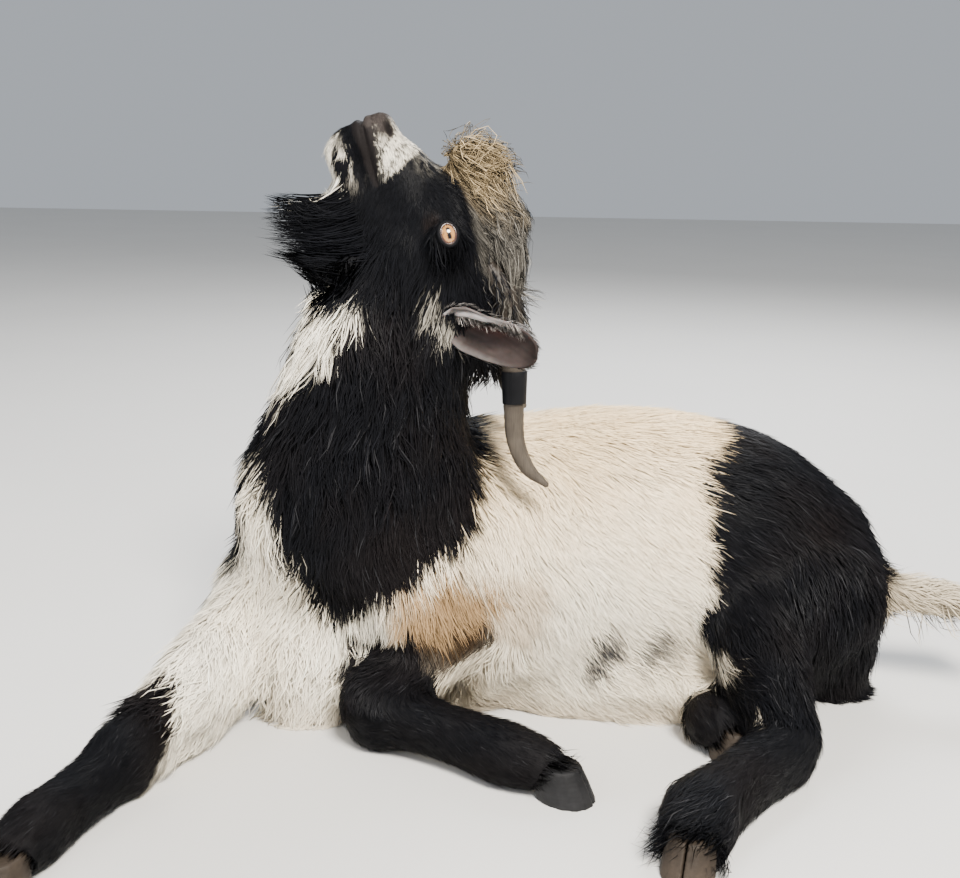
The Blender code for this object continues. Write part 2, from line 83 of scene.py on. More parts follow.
# The head's muzzle end, behind the lips' tip, and the least height that belongs to it.
MUZZLE_END = 0.06
MUZZLE_LOW = 0.44


class Side(IntEnum):
    """The goat's own left and right."""

    LEFT = 1
    RIGHT = -1

    @property
    def word(self) -> str:
        """As the pieces' names spell it."""
        return self.name.lower()


def head_point(back: float, crown: float, left: float = 0.0) -> Array:
    """A landmark of the head, in metres behind the muzzle, towards the crown and to its left."""
    return MUZZLE + HEAD_BACK * back + HEAD_CROWN * crown + HEAD_LEFT * left


def head_coords(points: Array) -> Array:
    """The (back, crown, left) coordinates of landmark-frame points."""
    away = points - MUZZLE
    return np.stack([away @ HEAD_BACK, away @ HEAD_CROWN, away @ HEAD_LEFT], axis=1)


def unit(vectors: Array) -> Array:
    """Rows scaled to length one."""
    return vectors / np.maximum(np.linalg.norm(vectors, axis=-1, keepdims=True), 1e-9)


def ramp(values: Array, low: float, high: float) -> Array:
    """A smooth step from 0 at low to 1 at high, or down where high is less than low."""
    t = np.clip((values - low) / (high - low), 0, 1)
    return t * t * (3 - 2 * t)


def soft_edge(inside: Array) -> Array:
    """1 inside a marking and 0 outside it, from the distance to its edge."""
    return ramp(inside, -EDGE, EDGE)


def near(start: Triple, end: Triple, p: Array) -> Array:
    """Distance of each point p from the line between two places."""
    a, span = np.array(start), np.array(end) - np.array(start)
    along = np.clip((p - a) @ span / (span @ span), 0, 1)
    return np.linalg.norm(p - a - along[:, None] * span, axis=1)


def wander(points: Array, scale: float, seed: int = 0) -> Array:
    """Smooth noise between about -1 and 1 with features of the given size.

    Args:
        points: rows of places in metres.
        scale: size of the features in metres.
        seed: picks another pattern.

    Returns:
        One number for each place.
    """
    rng = np.random.default_rng(seed)
    total = np.zeros(len(points))
    for octave in range(3):
        waves = rng.normal(size=(5, 3)) * (2.2 * 2 ** octave / scale)
        phases = rng.uniform(0, 2 * math.pi, 5)
        total += np.sin(points @ waves.T + phases).sum(axis=1) / (3.2 * 1.7 ** octave)
    return total / 1.6


class Style(Enum):
    """A kind of tuft, by how many bends it has."""

    SPIKE = 1
    SHORT = 2
    LONG = 3
    CURLED = 5


@dataclass(frozen=True)
class Habit:
    """How hair of one kind lies.

    Attributes:
        leaders: share of the tufts that lead a lock.
        sway: how far whole locks turn aside, in radians.
        loft: how high a tuft stands, against the depth of the coat.
        strays: share of long tufts that stand off from the rest.
        rise: power of the way along a tuft by which it leaves the skin.
        hold: how tight a lock is, or None to take it from the hair's length.
        turns: angle of a tuft's wave from one bend to the next.
    """

    leaders: float
    sway: float
    loft: float
    strays: float
    rise: float
    hold: float | None
    turns: float


STRAIGHT = Habit(leaders=0.08, sway=0.1, loft=1.0, strays=0.05, rise=0.75, hold=None, turns=2.4)
CURLY = Habit(leaders=0.018, sway=0.26, loft=1.25, strays=0.0, rise=0.4, hold=0.88, turns=0.85)


@dataclass(frozen=True)
class CoatZone:
    """A stretch of the body whose hair lies one way.

    Attributes:
        name: the stretch.
        start: one end, in the landmark frame.
        end: the other end.
        spread: how far round it the zone counts, in millimetres.
        flow: the way the hair lies.
        depth: how thick the coat is, in millimetres.
        length: of a tuft, in millimetres.
        width: of a tuft, in millimetres.
        curl: how far a tuft waves to the side, as a share of its length.
    """

    name: str
    start: Triple
    end: Triple
    spread: float
    flow: Triple
    depth: float
    length: float
    width: float
    curl: float = 0.03


def _mm(value: float) -> float:
    """Metres from millimetres."""
    return round(value / 1000, 6)


def _at(x: float, y: float, z: float) -> Triple:
    """A place for the table of zones, from millimetres."""
    return _mm(x), _mm(y), _mm(z)


def _head(back: float, crown: float) -> Triple:
    """A landmark on the head's middle line, from millimetres."""
    return tuple(head_point(_mm(back), _mm(crown)).tolist())


def _lie(crown: float = 0.0) -> Triple:
    """The way back along the head, leaning to the crown by a share."""
    return tuple((HEAD_BACK + crown * HEAD_CROWN).tolist())


# Places and sizes in millimetres.
ZONES = (
    CoatZone("muzzle", _head(-10, -18), _head(30, -15), 22, _lie(), 1, 5, 0.8),
    CoatZone("chin", _head(0, -46), _head(40, -52), 16, _lie(-1), 3, 13, 0.9),
    CoatZone("nose", _head(35, 15), _head(75, 25), 20, _lie(), 1.4, 7, 0.9),
    CoatZone("cheeks", _head(65, -18), _head(115, -18), 22, _lie(-0.9), 2.8, 12, 1),
    CoatZone("jaw", _head(75, -55), _head(145, -45), 22, _lie(-1.3), 8, 30, 1.3, 0.06),
    CoatZone("jowl", _at(-118, 0, 432), _at(-118, 60, 432), 20, (-0.62, 0, -0.78), 9, 40, 1.4, 0.05),
    CoatZone("brow", _head(85, 30), _head(120, 30), 18, _lie(0.3), 2, 9, 1),
    CoatZone("poll", _head(150, 25), _head(200, 10), 26, _lie(), 5, 18, 1.2),
    CoatZone("forelock", _at(-6, 30, 512), _at(22, 30, 425), 22, (0.8, 0, -0.6), 15, 54, 0.85, 0.08),
    CoatZone("ear_root_left", _at(-26, -10, 378), _at(-44, -16, 362), 11, (-0.65, -0.1, -0.7), 7.5, 22,
             0.9, 0.1),
    CoatZone("ear_root_right", _at(-26, 70, 378), _at(-44, 76, 362), 11, (-0.65, 0.1, -0.7), 7.5, 22,
             0.9, 0.1),
    CoatZone("throat", _at(-135, 30, 400), _at(-190, 40, 260), 38, (-0.28, 0, -1), 17, 50, 1.7, 0.05),
    CoatZone("nape", _at(-10, 30, 360), _at(20, 60, 275), 34, (0.2, 0, -1), 13, 40, 1.5, 0.05),
    CoatZone("neck_left", _at(-80, -30, 370), _at(-85, -20, 240), 42, (-0.1, 0, -1), 14, 43, 1.6, 0.05),
    CoatZone("neck_right", _at(-80, 90, 370), _at(-85, 120, 240), 42, (-0.1, 0.1, -1), 14, 43, 1.6, 0.05),
    CoatZone("chest", _at(-225, 30, 210), _at(-200, 10, 70), 40, (-0.25, -0.25, -1), 15, 42, 1.6, 0.09),
    CoatZone("shoulder_left", _at(-60, -20, 210), _at(-60, -20, 130), 40, (0.12, 0, -1), 10, 34, 1.5),
    CoatZone("shoulder_right", _at(-150, 160, 210), _at(-150, 150, 80), 45, (0.1, 0.1, -1), 10, 34, 1.5),
    CoatZone("withers", _at(20, 90, 275), _at(100, 120, 285), 40, (0.85, 0, -0.45), 7, 29, 1.1),
    CoatZone("back", _at(130, 130, 280), _at(290, 140, 230), 50, (0.85, 0, -0.5), 7, 30, 1.1),
    CoatZone("ribs_left", _at(20, 0, 160), _at(90, 10, 130), 40, (0.5, 0, -0.85), 8, 32, 1.1, 0.05),
    CoatZone("barrel_left", _at(140, 0, 150), _at(190, 10, 160), 45, (0.75, 0, -0.62), 8, 32, 1.1, 0.05),
    CoatZone("barrel_right", _at(0, 220, 150), _at(210, 250, 150), 60, (0.8, 0, -0.6), 8, 32, 1.3),
    CoatZone("belly_left", _at(0, 30, 35), _at(200, 40, 35), 35, (0.5, -0.45, -0.42), 8, 34, 1.2, 0.1),
    CoatZone("fold", _at(175, 12, 135), _at(208, 8, 128), 14, (1, -0.3, -0.25), 8.5, 32, 1.1, 0.06),
    CoatZone("flank", _at(200, 15, 65), _at(225, -30, 80), 16, (0.8, -0.55, -0.1), 9, 32, 1.2, 0.12),
    CoatZone("rump", _at(320, 110, 210), _at(385, 120, 120), 45, (0.55, 0, -0.85), 9, 33, 1.3),
    CoatZone("thigh_left", _at(330, 30, 140), _at(300, 20, 80), 45, (0.05, -0.15, -1), 8, 29, 1.4),
    CoatZone("thigh_right", _at(330, 250, 120), _at(300, 260, 60), 45, (-0.1, 0.15, -1), 8, 29, 1.4),
    CoatZone("tail", _at(402, 105, 103), _at(505, 90, 92), 26, (1, -0.14, -0.42), 13, 60, 1.2, 0.05),
    CoatZone("forearm_left", _at(10, 40, 85), _at(-80, -20, 50), 22, (-0.8, -0.55, -0.3), 5.5, 20, 1.2),
    CoatZone("cannon_left", _at(-80, -30, 35), _at(50, -95, 30), 20, (0.87, -0.5, -0.05), 2.8, 12, 1),
    CoatZone("forearm_right", _at(-215, 40, 75), _at(-255, -40, 50), 34, (-0.4, -0.9, -0.35), 11, 36,
             1.5, 0.09),
    CoatZone("cannon_right", _at(-280, -100, 35), _at(-335, -250, 25), 26, (-0.3, -0.95, -0.05), 3, 13, 1),
    CoatZone("gaskin_left", _at(245, 20, 100), _at(262, -50, 45), 26, (0.2, -0.8, -0.6), 6, 22, 1.3),
    CoatZone("hind_cannon_left", _at(262, -75, 30), _at(195, -150, 30), 24, (-0.68, -0.72, -0.05), 3, 14,
             1.1),
    CoatZone("hind_foot_left", _at(178, -168, 30), _at(145, -225, 22), 22, (-0.72, -0.62, -0.22), 6, 34,
             1.1, 0.08),
    CoatZone("pastern_left", _at(62, -100, 32), _at(85, -112, 28), 13, (0.87, -0.45, -0.25), 4.8, 30,
             1.1, 0.05),
    CoatZone("pastern_right", _at(-340, -235, 28), _at(-352, -262, 22), 14, (-0.3, -0.93, -0.2), 3.5, 19,
             1.1, 0.05),
    CoatZone("hind_cannon_right", _at(270, 70, 30), _at(212, -10, 30), 24, (0.1, -0.8, -0.3), 3, 13, 1),
)


class CoatMap:
    """Blends the zones into one field over the body."""

    # Scales the width of every tuft.
    FINENESS = 0.78

    def __init__(self, zones: tuple[CoatZone, ...] = ZONES) -> None:
        """Keeps the zones as arrays."""
        self.zones = zones
        self.starts = np.array([z.start for z in zones])
        self.spans = np.array([z.end for z in zones]) - self.starts
        self.spreads = np.array([_mm(z.spread) for z in zones])
        self.flows = unit(np.array([z.flow for z in zones]))
        self.values = np.array([[_mm(z.depth), _mm(z.length), _mm(z.width) * self.FINENESS, z.curl]
                                for z in zones])

    def weights(self, points: Array) -> Array:
        """How much each zone counts at each place.

        Args:
            points: landmark-frame places.

        Returns:
            A row for each place, adding up to one.
        """
        out = np.empty((len(points), len(self.spreads)))
        for k, (start, span, spread) in enumerate(zip(self.starts, self.spans, self.spreads)):
            along = np.clip((points - start) @ span / (span @ span), 0, 1)
            gap = np.linalg.norm(points - start - along[:, None] * span, axis=1)
            out[:, k] = np.exp(-np.minimum((gap / spread) ** 2, 60)) + 1e-5 / (1e-3 + gap)
        return out / out.sum(axis=1, keepdims=True)

    def read(self, points: Array) -> tuple[Array, Array]:
        """The blended (depth, length, width, curl) rows and flow directions at points."""
        weights = self.weights(points)
        return weights @ self.values, unit(weights @ self.flows)


class Markings:
    """The coat's colours at points of the landmark frame, the same for skin and tufts.

    In the methods, p is the points, rough is how far the edges of the markings stray there, and white is
    the share of white so far. Each gives a share of white, or a colour, for each point.
    """

    BLACK = np.array([0.004, 0.0042, 0.0054])
    BROWN = np.array([0.03, 0.018, 0.012])
    WHITE = np.array([0.91, 0.84, 0.7])
    CREAM = np.array([0.84, 0.64, 0.38])
    TAN = np.array([0.27, 0.15, 0.052])
    GREY = np.array([0.036, 0.036, 0.039])
    SILVER = np.array([0.08, 0.074, 0.064])
    BLOND = np.array([0.26, 0.195, 0.11])
    LIP = np.array([0.011, 0.009, 0.009])
    NOSE = np.array([0.046, 0.038, 0.035])

    # Height, then where the white belt starts behind the black shoulder and ends at the black rump.
    BELT = ((-0.01, -0.14, 0.262), (0.04, -0.14, 0.245), (0.069, -0.14, 0.224), (0.092, -0.129, 0.212),
            (0.103, -0.116, 0.199), (0.118, -0.094, 0.205), (0.13, -0.072, 0.214), (0.15, -0.046, 0.202),
            (0.166, -0.032, 0.2), (0.178, -0.007, 0.2), (0.192, -0.002, 0.201), (0.214, 0.003, 0.208),
            (0.236, 0.0, 0.218), (0.255, -0.002, 0.226), (0.27, 0.018, 0.232), (0.3, 0.026, 0.238))
    # Middle, length, width and strength of the grey spots on the belly.
    SPOTS = ((0.117, 0.067, 0.031, 0.013, 0.98), (0.161, 0.075, 0.028, 0.0105, 0.82),
             (0.181, 0.068, 0.019, 0.0065, 0.6))
    # Height, middle and half width of the white slash on the throat.
    THROAT = ((0.296, -0.168, 0.003), (0.312, -0.156, 0.009), (0.325, -0.148, 0.012),
              (0.34, -0.14, 0.014), (0.356, -0.129, 0.018), (0.374, -0.123, 0.017),
              (0.39, -0.129, 0.01), (0.402, -0.134, 0.005), (0.412, -0.138, 0.002))
    # Height, then the back edge of the white breast.
    BREAST = ((0.092, -0.122), (0.11, -0.14), (0.128, -0.155), (0.167, -0.175), (0.205, -0.188),
              (0.232, -0.196))
    BREAST_TOP = 0.245
    # Behind the muzzle, then the crown height up to which the chin is white there.
    CHIN = ((-0.02, -0.024), (-0.003, -0.034), (0.009, -0.046), (0.018, -0.053), (0.05, -0.054))
    # The black part of the folded foreleg, from its knee to its foot.
    LEFT_CANNON = ((-0.088, -0.022, 0.04), (0.098, -0.117, 0.01))
    # Where the stretched foreleg's forearm starts, the way it points, and how far the white goes.
    RIGHT_ELBOW = np.array([-0.222, 0.04, 0.068])
    RIGHT_FOREARM = np.array([-0.38, -0.901, -0.207])
    RIGHT_WHITE = 0.118
    # The black hollow and the white band in the flank, and the white tick above the hind foot.
    POCKET = np.array([0.212, -0.002, 0.101])
    FLANK_BAND = ((0.186, 0.026, 0.06), (0.214, -0.023, 0.077))
    TICK = np.array([0.234, -0.076, 0.058])
    TAIL = ((0.404, 0.105, 0.103), (0.505, 0.09, 0.092))
    TAIL_ROOT = 0.385
    # Painted shadow of the tan elbow on the folded leg below it, as a dark line broken once.
    ELBOW_SHADOW_LINE = ((-0.06, 0, 0.076), (-0.022, 0, 0.076), (0.008, 0, 0.091))
    # The blond top of the forelock turns to silver between these heights.
    BLOND_FROM = (0.455, 0.505)

    def _trunk(self, p: Array, rough: Array) -> Array:
        """The share of white of the belt, the breast and the slash on the throat."""
        x, y, z = p.T
        heights, starts, ends = np.array(self.BELT).T
        belt = np.minimum(x - np.interp(z, heights, starts), np.interp(z, heights, ends) - x)
        belt = soft_edge(belt + rough) * ramp(z, 0.316, 0.304)
        heights, edges = np.array(self.BREAST).T
        breast = np.minimum(np.interp(z, heights, edges) - x, self.BREAST_TOP - z)
        breast = np.where((z > 0.13) & (x < -0.19), np.minimum(breast, 0.036 - y), breast)
        heights, middles, widths = np.array(self.THROAT).T
        slash = np.interp(z, heights, widths) - np.abs(x - np.interp(z, heights, middles))
        slash = np.where((z > 0.294) & (z < 0.412) & (y < 0.045), slash, -0.05)
        return np.maximum(belt, np.maximum(soft_edge(breast + rough), soft_edge(slash + 0.8 * rough)))

    def _legs(self, p: Array, white: Array, rough: Array) -> Array:
        """Black from the knees down, and all of the hind legs."""
        x, y, z = p.T
        knee = np.minimum(0.088 - z, np.minimum(x + 0.118, -0.05 - x))
        knee = np.where(y < 0.012, knee, -0.05)
        cannon = np.where(y < -0.014, 0.046 - near(*self.LEFT_CANNON, p), -0.05)
        white = white * (1 - soft_edge(np.maximum(knee, cannon) + rough))
        reach = (p - self.RIGHT_ELBOW) @ self.RIGHT_FOREARM
        limit = self.RIGHT_WHITE + 0.9 * np.clip(0.063 - z, -0.02, 0.06)
        white = np.where((y < 0.02) & (x < -0.16), white * soft_edge(limit - reach + rough), white)
        hind = (x > 0.16) & (y < -0.004) & (z < 0.125) | (x > 0.245) | (x > 0.105) & (y < -0.06)
        white = np.where(hind, 0.0, white)
        pocket = np.linalg.norm(p - self.POCKET, axis=1)
        white = white * ramp(pocket + rough, 0.017, 0.021)
        band = near(*self.FLANK_BAND, p)
        white = np.maximum(white, ramp(band + 0.6 * rough, 0.021, 0.016))
        tick = np.linalg.norm((p - self.TICK) * [1.3, 0.8, 1], axis=1)
        return np.maximum(white, ramp(tick + 0.002 * wander(p, 0.008, 17), 0.01, 0.0065))

    def _face(self, p: Array, white: Array, rough: Array) -> Array:
        """The white muzzle and chin, the streaks beside the chin and the white behind the ears."""
        back, crown, _ = head_coords(p).T
        face = (back > -0.03) & (back < 0.19) & (p[:, 2] > 0.4) & (crown > -0.1)
        muzzle = np.minimum(0.046 - 0.35 * np.maximum(crown + 0.004, 0) - back, back + 0.02)
        muzzle = np.minimum(muzzle, crown + 0.0045 + 0.33 * back)
        chin = np.minimum(np.interp(back, *np.array(self.CHIN).T) - crown, 0.055 - back)
        streaks = np.exp(-((back - 0.022) / 0.014) ** 2 - ((crown + 0.04) / 0.008) ** 2)
        streaks = streaks * (wander(p * np.array([1, 1, 0.25]), 0.0035, 11) > 0.35)
        bridge = np.exp(-((back - 0.047) / 0.008) ** 2 - ((crown - 0.03) / 0.01) ** 2)
        bridge = bridge * (wander(p, 0.0045, 12) > 0.05)
        light = ramp(np.maximum(muzzle, chin) + 0.35 * rough, -EDGE / 2, EDGE / 2)
        light = np.maximum(light, np.clip(streaks + 0.9 * bridge, 0, 1))
        speck = ramp(wander(p, 0.0028, 9) + 0.65 * by_lips(back, crown, 0.009), 0.3, 0.42)
        light = light * (1 - 0.97 * speck * ramp(back, 0.06, 0.045) * ramp(crown, -0.042, -0.03))
        white = np.where(face, light, white)
        behind_ears = np.array([[-0.037, MIDLINE - side * 0.044, 0.37] for side in Side])
        gap = np.linalg.norm((p[:, None] - behind_ears[None]) * [1.0, 0.8, 1.0], axis=2).min(axis=1)
        return np.maximum(white, 0.45 * ramp(gap + 0.5 * rough, 0.017, 0.008))

    def white_share(self, p: Array) -> Array:
        """How white the coat is.

        Args:
            p: the points.

        Returns:
            A number from 0 to 1 for each point.
        """
        rough = 0.006 * wander(p, 0.045, 3) + 0.0045 * wander(p, 0.016, 4)
        white = self._legs(p, self._trunk(p, rough), rough)
        by_tail = ramp(near(*self.TAIL, p), 0.03, 0.022)
        white = np.maximum(white, ramp(p[:, 0] + rough, 0.394, 0.4) * by_tail)
        return self._face(p, white, rough)

    def colours(self, p: Array) -> Array:
        """The coat's colour.

        Args:
            p: the points.

        Returns:
            The colours at the points.
        """
        share = self.white_share(p)[:, None]
        colour = self._blacks(p)
        colour = colour + (self._whites(p) - colour) * share
        return self._bare_head(p, colour)

    def _blacks(self, p: Array) -> Array:
        """The black hair's colour at each point, brownish in places and below the eye's corner."""
        brownish = (np.clip(0.03 + 0.12 * wander(p, 0.1, 8), 0, 0.3) * ramp(p[:, 2], 0.42, 0.34))[:, None]
        tear = np.linalg.norm(p - head_point(0.0965, 0.0065, 0.033), axis=1)
        brownish = np.maximum(brownish, 0.22 * ramp(tear, 0.012, 0.004)[:, None])
        return self.BLACK + (self.BROWN - self.BLACK) * brownish

    def _whites(self, p: Array) -> Array:
        """The white hair's colour: creamier up the trunk, with the tan elbow, the painted shadow under it
        and the grey spots.
        """
        x, y, z = p.T
        warm = ramp(x, -0.1, -0.02) * (0.72 * ramp(z, 0.1, 0.26) + 0.18)
        warm = warm + 0.05 + 0.14 * wander(p, 0.09, 5)
        warm = np.where(x > 0.38, 0.5, warm * ramp(z, 0.33, 0.3))
        white = self.WHITE + (self.CREAM - self.WHITE) * np.clip(warm, 0, 1)[:, None]
        # Tanner and darker towards the floor, along the trunk.
        toward_floor = (ramp(z, 0.03, 0.0) * 0.22 * (x > -0.2))[:, None]
        white = white * (1 - toward_floor) + self.TAN * toward_floor
        blur = 0.25 * wander(p, 0.022, 6)
        elbow = ramp(np.hypot((x + 0.024) / 0.05, (z - 0.111) / 0.037) + blur, 1.25, 0.7) * 0.9
        paler = ramp(np.hypot((x - 0.034) / 0.042, (z - 0.116) / 0.036) + blur, 1.25, 0.6) * 0.45
        elbow = np.maximum(elbow, paler) * ramp(y, 0.09, 0.05)
        white = white + (self.TAN - white) * elbow[:, None]
        # Painted shadow: a dark line under the tan elbow, where it shades the folded leg.
        from_side = p * np.array([1, 0, 1])
        elbow_shadow = np.minimum(*(near(a, b, from_side) for a, b in zip(self.ELBOW_SHADOW_LINE, self.ELBOW_SHADOW_LINE[1:])))
        elbow_shadow = ramp(elbow_shadow + 0.003 * wander(p, 0.012, 16), 0.0165, 0.0115) * (y < 0.05)
        white = white + (self.BROWN * 0.5 - white) * (0.93 * elbow_shadow)[:, None]
        for cx, cz, length, width, depth in self.SPOTS:
            along, aside = (x - cx) * 0.53 + (z - cz) * 0.85, (x - cx) * 0.85 - (z - cz) * 0.53
            spot = np.hypot(along / length, aside / width) + 0.18 * wander(p, 0.012, 7)
            white = white + (self.GREY - white) * (ramp(spot, 1.15, 0.55) * depth * (y < 0.08))[:, None]
        # Painted shade: the tail's hair is darkened to 0.6 of its colour.
        return np.where((x > self.TAIL_ROOT)[:, None], white * 0.6, white)

    def _bare_head(self, p: Array, colour: Array) -> Array:
        """Lips, nose leather, painted shade darkening the middles of the nostrils, and the blond and silver
        forelock.
        """
        back, crown, left = head_coords(p).T
        face = (back > -0.03) & (back < MUZZLE_END) & (p[:, 2] > MUZZLE_LOW)
        lip = ramp(np.abs(crown - mouth_height(back)) - lip_width(back), 0.001, -0.0008) * (back < 0.05)
        leather = np.exp(-((back - 0.007) / 0.012) ** 2 - ((crown - 0.002) / 0.0085) ** 2)
        pad = ramp(back + 0.25 * np.abs(crown), 0.0085, 0.0045)
        nose = np.clip(np.maximum(1.2 * leather, pad), 0, 1) * (crown > -0.012)
        hole = nostril(back, crown, left)
        # The nostrils' middles are darkened towards black: painted shade in the holes.
        for bare, share in ((self.LIP, lip), (self.NOSE, nose), (self.NOSE * 0.45, ramp(hole, 0.2, 0.55)),
                            (self.LIP, ramp(hole, 0.55, 0.85))):
            colour = colour + (bare - colour) * (share * face)[:, None]
        height = p[:, 2] - 0.9 * (p[:, 0] + 0.01) + 0.01 * wander(p, 0.02, 14)
        hair = self.SILVER + (self.BLOND - self.SILVER) * ramp(height, *self.BLOND_FROM)[:, None]
        return colour + (hair - colour) * self.forelock_share(p)[:, None]

    @staticmethod
    def forelock_share(p: Array) -> Array:
        """1 on the mop of curls, 0 off it."""
        inside = np.zeros(len(p))
        for x, left, z, size in FORELOCK:
            gap = np.linalg.norm((p - np.array([x, MIDLINE - left, z])) / size, axis=1)
            inside = np.maximum(inside, ramp(gap, 1.35, 1.05))
        return inside * (p[:, 2] > 0.38)


def mouth_height(back: Array) -> Array:
    """Crown height of the parting of the lips."""
    return -0.0135 - 0.19 * back


def lip_width(back: Array) -> Array:
    """How far the bare dark lips reach above and below their parting."""
    return 0.0085 * np.sqrt(np.clip(1 - back / 0.052, 0.02, 1.2))


def by_lips(back: Array, crown: Array, reach: float) -> Array:
    """1 on the bare lips, falling to 0 at a distance of reach from them."""
    return ramp(np.abs(crown - mouth_height(back)) - lip_width(back), reach, 0.0)


def nostril(back: Array, crown: Array, left: Array) -> Array:
    """1 in the middle of a nostril, falling to 0 round it."""
    above = crown - 0.0052 + 0.1 * (back - 0.01)
    hole = np.exp(-((back - 0.0115) / 0.008) ** 2 - (above / 0.0032) ** 2)
    return hole * ramp(np.abs(left), 0.005, 0.01)


# Place behind, left of the middle line and above, and size, of the balls that make up the mop of curls.
FORELOCK = ((-0.014, 0.0, 0.514, 0.022), (0.008, 0.0, 0.488, 0.024), (0.018, 0.0, 0.458, 0.026),
            (0.019, 0.002, 0.43, 0.025), (0.027, 0.014, 0.41, 0.014))


@dataclass(frozen=True)
class EyeShape:
    """One eye's place, axes and size in the landmark frame.

    Attributes:
        side: the goat's left or right.
        radius: of the eyeball.
        half_width: angle from the axis to the lids' corners.
        upper: the same angle to the top of the upper lid's edge.
        lower: and to the bottom of the lower lid's.
    """

    side: Side
    radius: float = 0.0132
    half_width: float = 0.59
    upper: float = 0.43
    lower: float = 0.4

    @property
    def centre(self) -> Array:
        """Middle of the eyeball."""
        return head_point(0.1088, 0.0133, self.side * 0.0345)

    @property
    def out(self) -> Array:
        """The way the eye looks."""
        return unit(HEAD_LEFT * self.side * 0.94 - HEAD_BACK * 0.2 + HEAD_CROWN * 0.26)

    @property
    def long_axis(self) -> Array:
        """Along the slit, from the nose's corner to the ear's."""
        way = HEAD_BACK - 0.22 * HEAD_CROWN
        return unit(way - self.out * (way @ self.out))

    @property
    def short_axis(self) -> Array:
        """From the lower lid to the upper."""
        return unit(np.cross(self.long_axis, self.out) * self.side)

    def opening(self, turn: Array) -> Array:
        """Angle from the eye's axis to the edge of the lids, at a turn round that axis."""
        along, up = np.cos(turn), np.sin(turn)
        tall = np.where(up > 0, self.upper, self.lower)
        return 1.0 / np.sqrt((along / self.half_width) ** 2 + (up / tall) ** 2)

    def polar(self, points: Array) -> tuple[Array, Array, Array]:
        """Where points stand as seen from the middle of the eyeball.

        Args:
            points: landmark-frame places.

        Returns:
            Their distance, their angle from the eye's axis and their turn round it.
        """
        away = points - self.centre
        dist = np.linalg.norm(away, axis=1)
        tilt = np.arccos(np.clip((away @ self.out) / np.maximum(dist, 1e-9), -1, 1))
        return dist, tilt, np.arctan2(away @ self.short_axis, away @ self.long_axis)


@dataclass(frozen=True)
class Roots:
    """Where tufts start and how they go.

    Attributes:
        points: the roots, in the landmark frame.
        normals: the skin's normals there.
        uvs: the places on the skin's unwrap.
        zones: each root's chief zone, by number.
        values: depth, length, width and curl of the hair.
        flows: the way it lies.
    """

    points: Array
    normals: Array
    uvs: Array
    zones: Array
    values: Array
    flows: Array

    def pick(self, mask: Array) -> "Roots":
        """The roots where mask is true."""
        return Roots(*(getattr(self, field.name)[mask] for field in fields(self)))


